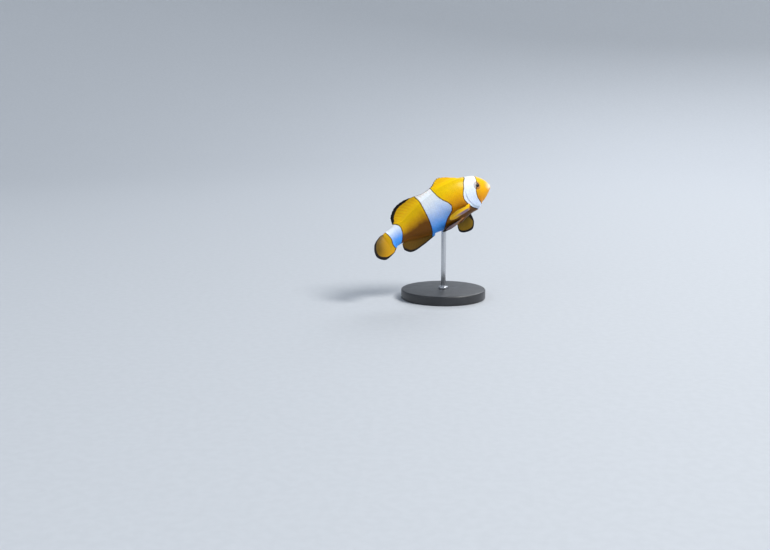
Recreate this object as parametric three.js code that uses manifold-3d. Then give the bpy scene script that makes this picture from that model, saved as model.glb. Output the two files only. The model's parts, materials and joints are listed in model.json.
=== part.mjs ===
// A life-size clownfish, still, on a plain display stand. Millimetres, +Z up, head towards +X.
// The fish is shaped straight, along its own backbone, and bent and tilted into its swimming pose at
// the end, so every cut between two pieces is made on the straight fish.

import * as THREE from "three";
import { mergeVertices } from "three/addons/utils/BufferGeometryUtils.js";
import Module from "manifold-3d";

const wasm = await Module();
wasm.setup();

// ---------------------------------------------------------------- driving sizes

const STANDARD_LENGTH = 74; // snout to the root of the tail fin
const GAP = 0.3; // between two pieces that meet
const RING_SIDES = 26; // corners of the body's section

// Pose of the whole fish, in degrees.
const HEAD_UP = 27; // slope of the backbone
const LEAN = 8; // the back leans towards the fish's right side

// The backbone's heading in the fish's own level plane, in degrees, from snout (0) to tail tip, and
// how far the fish is wrung about its backbone.
const HEADING = smoothThrough([
  [0, 29],
  [0.2, 27],
  [0.5, 13],
  [0.75, 14],
  [1, 38],
  [1.25, 60],
]);
const TWIST = smoothThrough([
  [0, 0],
  [0.7, 0],
  [1, -8],
  [1.25, -18],
]);

// The body's sections, as shares of the standard length: how high the middle of the section lies, the
// heights of the back above it and the belly below it, and half the width.
const STATIONS = [
  { at: 0, rise: -0.048, back: 0, belly: 0, half: 0 },
  { at: 0.01, rise: -0.044, back: 0.043, belly: 0.025, half: 0.027 },
  { at: 0.05, rise: -0.038, back: 0.1, belly: 0.06, half: 0.05 },
  { at: 0.1, rise: -0.03, back: 0.139, belly: 0.093, half: 0.066 },
  { at: 0.2, rise: -0.012, back: 0.166, belly: 0.146, half: 0.083 },
  { at: 0.3, rise: 0, back: 0.182, belly: 0.168, half: 0.089 },
  { at: 0.42, rise: 0, back: 0.192, belly: 0.18, half: 0.086 },
  { at: 0.6, rise: 0, back: 0.17, belly: 0.16, half: 0.07 },
  { at: 0.75, rise: 0, back: 0.128, belly: 0.122, half: 0.052 },
  { at: 0.88, rise: 0, back: 0.091, belly: 0.083, half: 0.036 },
  { at: 1.0, rise: 0, back: 0.086, belly: 0.074, half: 0.026 },
];
const RISE = sizeAlong("rise");
const BACK = sizeAlong("back");
const BELLY = sizeAlong("belly");
const HALF = sizeAlong("half");

// Where one length of the body ends and the next begins.
const NECK = 0.3;
const VENT = 0.6;
const TAIL_STALK = 0.86;

// ---------------------------------------------------------------- curves and solids

// A smooth curve through knots [x, y] that doesn't overshoot between them.
function smoothThrough(knots) {
  const last = knots.length - 1;
  const slope = (i) => (knots[i + 1][1] - knots[i][1]) / (knots[i + 1][0] - knots[i][0]);
  const bend = knots.map((_, i) => {
    if (i === 0) return slope(0);
    if (i === last) return slope(last - 1);
    const [before, after] = [slope(i - 1), slope(i)];
    return before * after > 0 ? (2 * before * after) / (before + after) : 0;
  });
  return (x) => {
    const place = Math.min(Math.max(x, knots[0][0]), knots[last][0]);
    let i = 0;
    while (i < last - 1 && place > knots[i + 1][0]) i++;
    const width = knots[i + 1][0] - knots[i][0];
    const t = (place - knots[i][0]) / width;
    const rise = knots[i + 1][1] - knots[i][1];
    const ease = t * t * (3 - 2 * t);
    const lead = bend[i] * width * t * (1 - t) * (1 - t);
    const trail = bend[i + 1] * width * t * t * (1 - t);
    return knots[i][1] + rise * ease + lead - trail;
  };
}

// One of the body's sizes as a function of the place along it. Read over the square root of the
// place, the curve starts upright at the snout, so the snout is round.
function sizeAlong(name) {
  const curve = smoothThrough(STATIONS.map((s) => [Math.sqrt(s.at), s[name]]));
  return (at) => curve(Math.sqrt(Math.max(at, 0))) * STANDARD_LENGTH;
}

const MERGE = 1e-4; // corners closer than this are one
function manifoldOf(geometry) {
  const bare = geometry.index ? geometry.toNonIndexed() : geometry.clone();
  for (const name of Object.keys(bare.attributes)) if (name !== "position") bare.deleteAttribute(name);
  const merged = mergeVertices(bare, MERGE);
  return new wasm.Manifold(
    new wasm.Mesh({
      numProp: 3,
      vertProperties: new Float32Array(merged.attributes.position.array),
      triVerts: new Uint32Array(merged.index.array),
    }),
  );
}

function geometryOf(manifold) {
  const mesh = manifold.getMesh();
  const places = new Float32Array(mesh.numVert * 3);
  for (let i = 0; i < mesh.numVert; i++) {
    places.set(mesh.vertProperties.subarray(i * mesh.numProp, i * mesh.numProp + 3), i * 3);
  }
  return new THREE.BufferGeometry()
    .setAttribute("position", new THREE.BufferAttribute(places, 3))
    .setIndex(new THREE.BufferAttribute(new Uint32Array(mesh.triVerts), 1));
}

// A closed skin over rows of points that all go round the same way, ended by flat caps.
function loft(rows) {
  const places = [];
  const faces = [];
  const around = rows[0].length;
  rows.forEach((row) => row.forEach((p) => places.push(p.x, p.y, p.z)));
  for (let r = 0; r < rows.length - 1; r++) {
    for (let i = 0; i < around; i++) {
      const [a, b] = [r * around + i, r * around + ((i + 1) % around)];
      faces.push(a, b, a + around, b, b + around, a + around);
    }
  }
  for (const [row, turned] of [
    [0, false],
    [rows.length - 1, true],
  ]) {
    const middle = rows[row].reduce((sum, p) => sum.add(p), new THREE.Vector3()).divideScalar(around);
    const hub = places.length / 3;
    places.push(middle.x, middle.y, middle.z);
    for (let i = 0; i < around; i++) {
      const [a, b] = [row * around + i, row * around + ((i + 1) % around)];
      faces.push(...(turned ? [a, b, hub] : [b, a, hub]));
    }
  }
  return facingOut(new THREE.BufferGeometry()
    .setAttribute("position", new THREE.Float32BufferAttribute(places, 3))
    .setIndex(faces));
}

// The same solid with its faces turned outwards.
function facingOut(geometry) {
  const solid = manifoldOf(geometry);
  if (solid.volume() > 0) return geometry;
  const index = geometry.index.array;
  for (let i = 0; i < index.length; i += 3) [index[i], index[i + 1]] = [index[i + 1], index[i]];
  return geometry;
}

const degrees = THREE.MathUtils.degToRad;

function spread(from, to, steps) {
  return Array.from({ length: steps + 1 }, (_, i) => from + ((to - from) * i) / steps);
}

// ---------------------------------------------------------------- the straight fish

// A point on the body's surface, grown outwards by `grow`. Angle 0 is the fish's left side, and a
// quarter turn is its back.
function onBody(at, angle, grow = 0) {
  const up = Math.sin(angle);
  const high = (up > 0 ? BACK(at) : BELLY(at)) + grow;
  const wide = (HALF(at) + grow) * Math.cos(angle);
  return new THREE.Vector3(-at * STANDARD_LENGTH, wide, RISE(at) + high * up);
}

// The body between two places, as a solid. Rings crowd towards the snout, where the shape turns most.
function bodyBetween(from, to, steps, grow = 0) {
  const places = spread(Math.sqrt(from), Math.sqrt(to), steps).map((root) => root * root);
  const rows = places.map((at) => {
    const ring = spread(0, 2 * Math.PI, RING_SIDES).slice(0, -1);
    return ring.map((angle) => onBody(at, angle, grow));
  });
  return manifoldOf(loft(rows));
}

const halfGap = GAP / 2 / STANDARD_LENGTH; // as a share
const SNOUT_TIP = 0.0006; // the first ring is this far behind the snout, as a share
const WHOLE_BODY_RINGS = 40;
const bodyRoom = bodyBetween(SNOUT_TIP, 1, WHOLE_BODY_RINGS, GAP);

// A fin is a fan of rays from a root line to its edge. `root(u)` is a point on the root line,
// `ray(u)` the ray's whole run from there, and `side` the way its thickness goes.
// It is closed, and thins from the root to the edge.
const SUNK = 2; // how far a fin starts inside the body, before the body is cut away from it
const FIN_ROOT = 1.1;
const FIN_EDGE = 0.5;
const FIN_END = 1 / 8; // share of the root line over which a fin thins towards each end
const ACROSS = new THREE.Vector3(0, 1, 0);
function finBlade({ root, ray, side, across = 12, out = 6 }) {
  const sheet = (u, v, face) => {
    const fullness = Math.min(1, Math.min(u, 1 - u) / FIN_END) * (1 - v);
    const depth = FIN_EDGE + (FIN_ROOT - FIN_EDGE) * fullness;
    const place = root(u).clone().addScaledVector(ray(u), v);
    return place.addScaledVector(side, (face * depth) / 2);
  };
  const rows = spread(0, 1, across).map((u) => {
    const outward = spread(0, 1, out).map((v) => sheet(u, v, 1));
    const inward = spread(1, 0, out).map((v) => sheet(u, v, -1));
    return [...outward, ...inward];
  });
  return manifoldOf(loft(rows)).subtract(bodyRoom);
}

// A fin on the middle line, along the back (up = 1) or the belly (up = -1).
function medianFin({ from, to, up, lean, length }) {
  const edge = up > 0 ? BACK : BELLY;
  const leanAt = smoothThrough(lean);
  const lengthAt = smoothThrough(length);
  const direction = (u) => {
    const angle = degrees(leanAt(u));
    return new THREE.Vector3(-Math.sin(angle), 0, up * Math.cos(angle));
  };
  return finBlade({
    root: (u) => {
      const at = from + (to - from) * u;
      const rootPoint = new THREE.Vector3(-at * STANDARD_LENGTH, 0, RISE(at) + up * edge(at));
      return rootPoint.addScaledVector(direction(u), -SUNK);
    },
    ray: (u) => direction(u).multiplyScalar(lengthAt(u) * STANDARD_LENGTH + SUNK),
    side: ACROSS,
    across: 16,
  });
}

const DORSAL_SPINES = {
  from: 0.24,
  to: 0.5,
  up: 1,
  lean: [[0, 55], [0.4, 42], [1, 38]],
  length: [[0, 0.04], [0.15, 0.085], [0.36, 0.098], [0.55, 0.079], [0.84, 0.04], [1, 0.032]],
};
const DORSAL_RAYS = {
  from: 0.515,
  to: 0.915,
  up: 1,
  lean: [[0, 35], [0.45, 44], [0.72, 54], [1, 62]],
  length: [
    [0, 0.032], [0.1, 0.036], [0.25, 0.07], [0.42, 0.118], [0.56, 0.132], [0.74, 0.112], [0.9, 0.058],
    [1, 0.014],
  ],
};
const ANAL = {
  from: 0.63,
  to: 0.925,
  up: -1,
  lean: [[0, 40], [0.3, 43], [0.65, 50], [1, 60]],
  length: [[0, 0.022], [0.3, 0.086], [0.6, 0.127], [0.8, 0.1], [0.92, 0.052], [1, 0.012]],
};

// The tail fin fans out from the end of the tail stalk.
function tailFin() {
  const fan = smoothThrough([[0, -26], [0.2, -20], [0.5, -6], [1, 10]]);
  const lengths = [[0, 0.055], [0.12, 0.122], [0.3, 0.216], [0.5, 0.265], [0.8, 0.19], [1, 0.075]];
  const length = smoothThrough(lengths);
  const rootHalf = 0.066 * STANDARD_LENGTH;
  return finBlade({
    root: (u) => new THREE.Vector3(-STANDARD_LENGTH + SUNK, 0, (2 * u - 1) * rootHalf),
    ray: (u) => {
      const angle = degrees(fan(u));
      const run = length(u) * STANDARD_LENGTH + SUNK;
      return new THREE.Vector3(-Math.cos(angle), 0, Math.sin(angle)).multiplyScalar(run);
    },
    side: ACROSS,
    across: 16,
    out: 8,
  });
}

// A paired fin. `top` and `bottom` are the ends of its root line on the fish's side as [place, angle],
// and its rays turn from `first` to `last` (directions on the straight fish).
const PAIRED_SUNK = 1.2;
function pairedFin({ top, bottom, first, last, lengths }) {
  const [a, b] = [onBody(...top), onBody(...bottom)];
  const lengthAt = smoothThrough(lengths);
  const direction = (u) => first.clone().lerp(last, u).normalize();
  const normal = first.clone().cross(last).normalize();
  return finBlade({
    root: (u) => a.clone().lerp(b, u).addScaledVector(direction(u), -PAIRED_SUNK),
    ray: (u) => direction(u).multiplyScalar(lengthAt(u) * STANDARD_LENGTH + PAIRED_SUNK),
    side: normal,
    across: 12,
    out: 8,
  });
}

const pectoralRight = {
  top: [0.271, degrees(202)],
  bottom: [0.285, degrees(220)],
  first: new THREE.Vector3(-0.87, -0.46, 0.2),
  last: new THREE.Vector3(-0.95, -0.28, 0.03),
  lengths: [[0, 0.155], [0.2, 0.23], [0.5, 0.246], [0.8, 0.222], [1, 0.155]],
};
const pectoralLeft = {
  top: [0.273, degrees(-18)],
  bottom: [0.289, degrees(-32)],
  first: new THREE.Vector3(0.3, 0.2, -0.93),
  last: new THREE.Vector3(-0.63, 0.22, -0.73),
  lengths: [[0, 0.165], [0.1, 0.24], [0.3, 0.283], [0.55, 0.275], [0.8, 0.25], [1, 0.175]],
};
const pelvic = (side) => ({
  top: [0.335, degrees(-90 - side * 32)],
  bottom: [0.36, degrees(-90 - side * 12)],
  first: new THREE.Vector3(-0.97, -side * 0.2, 0.06),
  last: new THREE.Vector3(-0.98, -side * 0.1, -0.06),
  lengths: [[0, 0.2], [0.3, 0.245], [0.6, 0.22], [1, 0.14]],
});

// The eyes are flattened balls, in sockets cut a gap wider than they are.
const EYE_RADIUS = 0.043 * STANDARD_LENGTH;
const EYE_HALF_DEPTH = 0.03 * STANDARD_LENGTH;
const EYE_AT = 0.139;
const EYE_UP = 0.029 * STANDARD_LENGTH;
const EYE_OUT = 0.046 * STANDARD_LENGTH;

function eyeball(side, grow = 0) {
  const ball = new THREE.SphereGeometry(1, 16, 12);
  ball.scale(EYE_RADIUS + grow, EYE_HALF_DEPTH + grow, EYE_RADIUS + grow);
  ball.translate(-EYE_AT * STANDARD_LENGTH, side * EYE_OUT, EYE_UP);
  return manifoldOf(ball);
}

// The mouth is a thin wedge cut into the snout, wide at the lips and closing towards its corners.
const MOUTH_DEPTH = 0.05 * STANDARD_LENGTH;
const MOUTH_DROP = degrees(24);
const LIPS_APART = 0.9;
const CORNERS_APART = 0.1;
function mouthCut() {
  const ahead = 1; // starts clear of the snout
  const wedge = new THREE.Shape();
  wedge.moveTo(ahead, LIPS_APART / 2);
  wedge.lineTo(-MOUTH_DEPTH, CORNERS_APART / 2);
  wedge.lineTo(-MOUTH_DEPTH, -CORNERS_APART / 2);
  wedge.lineTo(ahead, -LIPS_APART / 2);
  const width = 0.2 * STANDARD_LENGTH; // wider than the head
  const cut = new THREE.ExtrudeGeometry(wedge, { depth: width, bevelEnabled: false });
  cut.translate(0, 0, -width / 2);
  cut.rotateX(Math.PI / 2);
  cut.rotateY(-MOUTH_DROP);
  cut.translate(0, 0, RISE(0));
  return manifoldOf(cut);
}

// The gill covers are oval plates let into the sides of the head, down to a flat floor.
const GILL_COVER = {
  at: 0.215 * STANDARD_LENGTH,
  up: -0.02 * STANDARD_LENGTH,
  halfLength: 0.06 * STANDARD_LENGTH,
  halfHeight: 0.1 * STANDARD_LENGTH,
  tilt: degrees(-12),
  floor: 0.05 * STANDARD_LENGTH, // from the middle of the head
};
function gillCoverBlock(side, grow = 0) {
  const { at, up, halfLength, halfHeight, tilt, floor } = GILL_COVER;
  const oval = new THREE.Shape();
  oval.absellipse(-at, up, halfLength + grow, halfHeight + grow, 0, 2 * Math.PI, false, tilt);
  const depth = 0.2 * STANDARD_LENGTH; // past the side of the head
  const block = new THREE.ExtrudeGeometry(oval, { depth, bevelEnabled: false, curveSegments: 12 });
  block.rotateX(Math.PI / 2); // its depth now runs towards -y
  const inner = floor - grow;
  block.translate(0, side > 0 ? inner + depth : -inner, 0);
  return manifoldOf(block);
}

// ---------------------------------------------------------------- bending and placing

// The backbone's points and headings, added up in short steps from the snout back.
const SPINE_STEPS = 250;
const SPINE_END = 1.3;
const spine = [{ x: 0, y: 0 }];
for (let i = 1; i <= SPINE_STEPS; i++) {
  const step = SPINE_END / SPINE_STEPS;
  const heading = degrees(HEADING((i - 0.5) * step));
  const before = spine[i - 1];
  const run = step * STANDARD_LENGTH;
  spine.push({ x: before.x - Math.cos(heading) * run, y: before.y - Math.sin(heading) * run });
}

function backbone(at) {
  const place = Math.min(Math.max(at, 0), SPINE_END) * (SPINE_STEPS / SPINE_END);
  const i = Math.min(Math.floor(place), SPINE_STEPS - 1);
  const t = place - i;
  return {
    x: spine[i].x + (spine[i + 1].x - spine[i].x) * t,
    y: spine[i].y + (spine[i + 1].y - spine[i].y) * t,
    heading: degrees(HEADING(at)),
  };
}

const pose = new THREE.Matrix4()
  .makeRotationY(-degrees(HEAD_UP))
  .multiply(new THREE.Matrix4().makeRotationX(degrees(LEAN)));

// From the straight fish to the bent and tilted one. What lies ahead of the snout goes straight on.
function swimming(p) {
  const at = -p.x / STANDARD_LENGTH;
  const line = backbone(at);
  const ahead = Math.max(-at, 0) * STANDARD_LENGTH;
  const [c, s] = [Math.cos(line.heading), Math.sin(line.heading)];
  const turn = degrees(TWIST(at));
  const aside = p.y * Math.cos(turn) - p.z * Math.sin(turn);
  const high = p.y * Math.sin(turn) + p.z * Math.cos(turn);
  const bent = new THREE.Vector3(line.x + ahead * c - s * aside, line.y + ahead * s + c * aside, high);
  return bent.applyMatrix4(pose);
}

// The rod holds the fish by its belly, over the middle of the base.
const HOLD_AT = 0.555;
const HOLD_HEIGHT = 44;
const held = swimming(onBody(HOLD_AT, -Math.PI / 2));
const toStand = new THREE.Vector3(0, 0, HOLD_HEIGHT).sub(held);

function posed(p) {
  return swimming(p).add(toStand);
}

function posedSolid(manifold) {
  const geometry = geometryOf(manifold);
  const place = geometry.attributes.position;
  for (let i = 0; i < place.count; i++) {
    const p = posed(new THREE.Vector3().fromBufferAttribute(place, i));
    place.setXYZ(i, p.x, p.y, p.z);
  }
  return geometry;
}

// ---------------------------------------------------------------- materials

const material = (color, roughness, metalness = 0) =>
  new THREE.MeshStandardMaterial({ color, roughness, metalness });
const ORANGE_SKIN = material(0xf2a312, 0.45);
const FIN_SKIN = material(0xe89a14, 0.5);
const EYE_GLOSS = material(0x1a1210, 0.1);
const STEEL = material(0xb8bcc0, 0.3, 1);
const PAINT = material(0x2b2d30, 0.5);

// ---------------------------------------------------------------- the pieces

const fish = new THREE.Group();
function add(name, geometry, look) {
  const mesh = new THREE.Mesh(geometry, look);
  mesh.name = name;
  fish.add(mesh);
}

const headBlock = bodyBetween(SNOUT_TIP, NECK - halfGap, 16);
const sockets = eyeball(1, GAP).add(eyeball(-1, GAP));
const gillRoom = gillCoverBlock(1, GAP).add(gillCoverBlock(-1, GAP));
add("head", posedSolid(headBlock.subtract(sockets).subtract(gillRoom).subtract(mouthCut())), ORANGE_SKIN);
for (const [name, side] of [["left", 1], ["right", -1]]) {
  const gillCover = headBlock.intersect(gillCoverBlock(side)).subtract(sockets);
  add(`gill_cover_${name}`, posedSolid(gillCover), ORANGE_SKIN);
  add(`eye_${name}`, posedSolid(eyeball(side)), EYE_GLOSS);
}
add("trunk_front", posedSolid(bodyBetween(NECK + halfGap, VENT - halfGap, 12)), ORANGE_SKIN);
add("trunk_rear", posedSolid(bodyBetween(VENT + halfGap, TAIL_STALK - halfGap, 10)), ORANGE_SKIN);
add("tail_stalk", posedSolid(bodyBetween(TAIL_STALK + halfGap, 1, 8)), ORANGE_SKIN);
add("dorsal_fin_spines", posedSolid(medianFin(DORSAL_SPINES)), FIN_SKIN);
add("dorsal_fin_rays", posedSolid(medianFin(DORSAL_RAYS)), FIN_SKIN);
add("anal_fin", posedSolid(medianFin(ANAL)), FIN_SKIN);
add("tail_fin", posedSolid(tailFin()), FIN_SKIN);
add("pectoral_fin_right", posedSolid(pairedFin(pectoralRight)), FIN_SKIN);
add("pectoral_fin_left", posedSolid(pairedFin(pectoralLeft)), FIN_SKIN);
add("pelvic_fin_right", posedSolid(pairedFin(pelvic(1))), FIN_SKIN);
add("pelvic_fin_left", posedSolid(pairedFin(pelvic(-1))), FIN_SKIN);

// The stand: a round base and one rod up to the belly.
const BASE_RADIUS = 27;
const BASE_HEIGHT = 6;
const BASE_BEVEL = 0.8;
const ROD_RADIUS = 1.5;
function standBase() {
  const outline = [
    [0, 0], [BASE_RADIUS - BASE_BEVEL, 0], [BASE_RADIUS, BASE_BEVEL],
    [BASE_RADIUS, BASE_HEIGHT - BASE_BEVEL], [BASE_RADIUS - BASE_BEVEL, BASE_HEIGHT], [0, BASE_HEIGHT],
  ].map(([x, y]) => new THREE.Vector2(x, y));
  const turned = new THREE.LatheGeometry(outline, 40);
  turned.rotateX(Math.PI / 2);
  return geometryOf(manifoldOf(facingOut(turned)));
}

function standRod() {
  const bottom = BASE_HEIGHT + GAP;
  const height = HOLD_HEIGHT + 2 * ROD_RADIUS - bottom; // its top is cut off along the belly
  const rod = new THREE.CylinderGeometry(ROD_RADIUS, ROD_RADIUS, height, 20);
  rod.rotateX(Math.PI / 2);
  rod.translate(0, 0, bottom + height / 2);
  return geometryOf(manifoldOf(rod).subtract(manifoldOf(posedSolid(bodyRoom))));
}
add("stand_rod", standRod(), STEEL);
add("stand_base", standBase(), PAINT);

export default fish;
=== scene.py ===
# %% [markdown]
# # A clownfish on its display stand
#
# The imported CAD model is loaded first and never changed: it says where everything is. The plain CAD
# flesh is then replaced by one smooth skin with fins, lips and gill covers, a coat of thin scales over
# it, and glossy eyes. The stand keeps its shape and gets a finer turning. All lengths are in metres.

# %% Load the frame
import json
import math

import bpy
import numpy as np
from mathutils.kdtree import KDTree
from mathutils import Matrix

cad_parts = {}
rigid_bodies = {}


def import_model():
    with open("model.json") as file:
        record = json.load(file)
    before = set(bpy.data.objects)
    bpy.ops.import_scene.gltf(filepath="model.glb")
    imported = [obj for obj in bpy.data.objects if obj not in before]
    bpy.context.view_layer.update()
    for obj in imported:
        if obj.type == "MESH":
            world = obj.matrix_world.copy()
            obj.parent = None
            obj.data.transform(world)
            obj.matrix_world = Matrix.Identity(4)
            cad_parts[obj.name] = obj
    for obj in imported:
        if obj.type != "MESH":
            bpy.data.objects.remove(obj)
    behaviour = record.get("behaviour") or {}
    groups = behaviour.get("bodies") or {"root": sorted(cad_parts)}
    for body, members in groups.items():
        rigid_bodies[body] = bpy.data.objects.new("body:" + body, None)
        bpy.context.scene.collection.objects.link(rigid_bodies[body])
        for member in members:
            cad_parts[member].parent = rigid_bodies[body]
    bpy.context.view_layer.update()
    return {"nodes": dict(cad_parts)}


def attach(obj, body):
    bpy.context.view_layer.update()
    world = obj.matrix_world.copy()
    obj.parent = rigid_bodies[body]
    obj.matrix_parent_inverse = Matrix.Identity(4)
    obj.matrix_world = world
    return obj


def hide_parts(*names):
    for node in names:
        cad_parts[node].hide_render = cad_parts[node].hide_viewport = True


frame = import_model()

print("CAD nodes:", ", ".join(sorted(frame["nodes"])))

# %% [markdown]
# ## Camera
#
# The camera comes first, because it decides how finely each piece has to be made. It looks a little
# down on the fish's right side from two thirds of a metre away, with the fish up and to the right of
# the middle of the picture, as a diver would see it pass.

# %% Camera
CAMERA_PLACE = (0.0011, -0.6749, 0.1414)
CAMERA_DOWN = math.radians(10.64)  # below level
CAMERA_LEFT = math.radians(3.27)  # left of +Y

bpy.ops.object.camera_add(
    location=CAMERA_PLACE,
    rotation=(math.pi / 2 - CAMERA_DOWN, 0, CAMERA_LEFT),
)
camera = bpy.context.object
camera.name = "camera"
camera.data.lens = 50
camera.data.sensor_width = 36
bpy.context.scene.camera = camera
print("camera at", tuple(round(v, 3) for v in camera.location))

# %% [markdown]
# ## The straight fish
#
# A swimming fish is bent and tilted, which makes every shape on it hard to describe. So all of it is
# modelled on a straight fish, snout at the origin and tail towards -X, and bent at the very end. The
# sizes are the CAD model's own: a few sections along the body, joined by a curve that never
# overshoots. Sizes are read over the square root of the place along the body, which makes the snout
# round instead of pointed.

# %% Sizes of the straight fish
MM = 0.001
LENGTH = 0.074  # snout to the root of the tail fin
COAT = 0.16 * MM  # how far the skin lies under the tips of the scales
TAIL_END = 1.06  # the flesh tapers to an upright edge inside the tail fin
END_SHRINK = 0.15  # the share of its height that the flesh loses by then

# Share of the length, and there: rise of the middle, back above it, belly below it, half the width.
STATIONS = (
    (0, -0.048, 0, 0, 0),
    (0.01, -0.044, 0.043, 0.025, 0.027),
    (0.05, -0.038, 0.1, 0.06, 0.05),
    (0.1, -0.03, 0.139, 0.093, 0.066),
    (0.2, -0.012, 0.166, 0.146, 0.083),
    (0.3, 0, 0.182, 0.168, 0.089),
    (0.42, 0, 0.192, 0.18, 0.086),
    (0.6, 0, 0.17, 0.16, 0.07),
    (0.75, 0, 0.128, 0.122, 0.052),
    (0.88, 0, 0.091, 0.083, 0.036),
    (1, 0, 0.086, 0.074, 0.026),
)
print("sections along the fish:", len(STATIONS))

# %% [markdown]
# The curve through the sections takes its slope at each knot from the stretches on both sides of it,
# and is level where they go opposite ways. A common spline would be smoother still, but it swings past
# its knots, and between so few sections that would show as bulges.

# %% A curve through the sections
def smooth_through(*knots):
    """A smooth curve through (x, y) knots that doesn't overshoot between them."""
    xs, ys = np.array(knots, float).T
    slopes = np.diff(ys) / np.diff(xs)
    product = slopes[:-1] * slopes[1:]
    total = np.where(product > 0, slopes[:-1] + slopes[1:], 1)
    inner = np.where(product > 0, 2 * product / total, 0)
    bends = np.concatenate([slopes[:1], inner, slopes[-1:]])

    def curve(x):
        place = np.clip(x, xs[0], xs[-1])
        i = np.clip(np.searchsorted(xs, place, side="right") - 1, 0, len(xs) - 2)
        width = xs[i + 1] - xs[i]
        t = (place - xs[i]) / width
        rise = (ys[i + 1] - ys[i]) * t * t * (3 - 2 * t)
        lead = bends[i] * width * t * (1 - t) ** 2
        trail = bends[i + 1] * width * t * t * (1 - t)
        return ys[i] + rise + lead - trail

    return curve


def size_along(column):
    """One column of STATIONS as a function of the square root of the place along the body."""
    return smooth_through(*((math.sqrt(row[0]), row[column] * LENGTH) for row in STATIONS))


RISE, BACK, BELLY, HALF = (size_along(column) for column in range(1, 5))
print("deepest section:", round(float(BACK(0.65) + BELLY(0.65)) / MM, 1), "mm")

# %% [markdown]
# A place on the body is two numbers, as on a map: how far along it is, and the angle round the middle.
# The outward direction there comes from a small step along and a small step round, which are crossed.

# %% The surface of the straight fish
STEP = 1e-3  # of the square root of the place, and of the angle in radians
SNOUT_CAP = 0.03  # before this root, outward turns to straight ahead


def past_end(root):
    """0 on the fish and 1 where the flesh ends inside the tail fin."""
    return np.clip((root * root - 1) / (TAIL_END - 1), 0, 1)


def on_body(root, angle):
    """Points of the body. root is the square root of the place along it. Angle 0 is the fish's left
    side and a quarter turn its back."""
    taper = np.sqrt(1 - past_end(root) ** 2)
    up = np.sin(angle)
    high = np.where(up > 0, BACK(root), BELLY(root)) * (1 - END_SHRINK + END_SHRINK * taper)
    x = -root * root * LENGTH + 0 * angle
    return np.stack([x, HALF(root) * taper * np.cos(angle), RISE(root) + high * up], -1)


def unit(vectors):
    """Vectors of the same directions, one unit long."""
    return vectors / np.linalg.norm(vectors, axis=-1, keepdims=True)


def body_normal(root, angle):
    """Outward directions of the body's surface, straight ahead at the tip of the snout."""
    near = np.clip(root, 4 * STEP, math.sqrt(TAIL_END) - 2 * STEP)
    along = on_body(near + STEP, angle) - on_body(near - STEP, angle)
    around = on_body(near, angle + STEP) - on_body(near, angle - STEP)
    normal = unit(np.cross(along, around))
    ahead = np.maximum(1 - root / SNOUT_CAP, 0)[..., None]
    return unit(normal + ahead * ([1, 0, 0] - normal))


print("widest section:", round(2 * float(HALF(math.sqrt(0.3))) / MM, 1), "mm")

# %% [markdown]
# ## Bending the fish
#
# The backbone turns left and right along its length, the tail is wrung a little, and then the whole
# fish tips its head up and leans. The numbers are those of the CAD model, so every piece lands where
# its node is. The belly is put on the tip of the rod.

# %% Bending
# Knots are (share of the length, degrees).
HEADING = smooth_through((0, 29), (0.2, 27), (0.5, 13), (0.75, 14), (1, 38), (1.25, 60))
TWIST = smooth_through((0, 0), (0.7, 0), (1, -8), (1.25, -18))
HEAD_UP = math.radians(27)
LEAN = math.radians(8)
HOLD_AT = 0.555  # where the rod meets the belly
HOLD_HEIGHT = 0.044

SPINE_STEPS = 250
SPINE_END = 1.3
spine_step = SPINE_END / SPINE_STEPS
spine_heading = np.radians(HEADING((np.arange(SPINE_STEPS) + 0.5) * spine_step))
spine_places = np.linspace(0, SPINE_END, SPINE_STEPS + 1)
spine_x = np.concatenate([[0], -np.cumsum(np.cos(spine_heading))]) * spine_step * LENGTH
spine_y = np.concatenate([[0], -np.cumsum(np.sin(spine_heading))]) * spine_step * LENGTH

tip_head = np.array([
    [math.cos(HEAD_UP), 0, -math.sin(HEAD_UP)],
    [0, 1, 0],
    [math.sin(HEAD_UP), 0, math.cos(HEAD_UP)],
])
lean_over = np.array([
    [1, 0, 0],
    [0, math.cos(LEAN), -math.sin(LEAN)],
    [0, math.sin(LEAN), math.cos(LEAN)],
])
TILT = tip_head @ lean_over


def swimming(points):
    """Points of the straight fish, bent and tilted."""
    at = -points[..., 0] / LENGTH
    heading = np.radians(HEADING(at))
    ahead = np.maximum(-at, 0) * LENGTH
    line_x = np.interp(at, spine_places, spine_x)
    line_y = np.interp(at, spine_places, spine_y)
    turn = np.radians(TWIST(at))
    aside = points[..., 1] * np.cos(turn) - points[..., 2] * np.sin(turn)
    high = points[..., 1] * np.sin(turn) + points[..., 2] * np.cos(turn)
    x = line_x + ahead * np.cos(heading) - np.sin(heading) * aside
    y = line_y + ahead * np.sin(heading) + np.cos(heading) * aside
    return np.stack([x, y, high], -1) @ TILT.T


held = swimming(on_body(np.array(math.sqrt(HOLD_AT)), np.array(-math.pi / 2)))
TO_STAND = np.array([0, 0, HOLD_HEIGHT]) - held


def posed(points):
    """Points of the straight fish where they are on the stand."""
    return swimming(points) + TO_STAND


snout = posed(np.array([0, 0, float(RISE(0))]))
print("snout at", np.round(snout / MM, 1), "mm")

# %% [markdown]
# ## Helpers for modelling
#
# Every piece starts as a primitive from the Add menu. A grid is the most useful one here: its own
# corners tell each vertex how far along and how far around it is, so a formula can roll it into a
# body or fold it into a fin. Operators act on whatever is selected, so everything is deselected first.

# %% Choosing pieces and moving their corners
def deselect_all():
    """Leaves nothing selected."""
    for piece in bpy.context.selected_objects:
        piece.select_set(False)


def choose(piece):
    """Selects one object alone and makes it active."""
    deselect_all()
    piece.select_set(True)
    bpy.context.view_layer.objects.active = piece


def corners(piece):
    """The places of a piece's vertices."""
    found = np.empty(len(piece.data.vertices) * 3, np.float32)
    piece.data.vertices.foreach_get("co", found)
    return found.reshape(-1, 3).astype(float)


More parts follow.
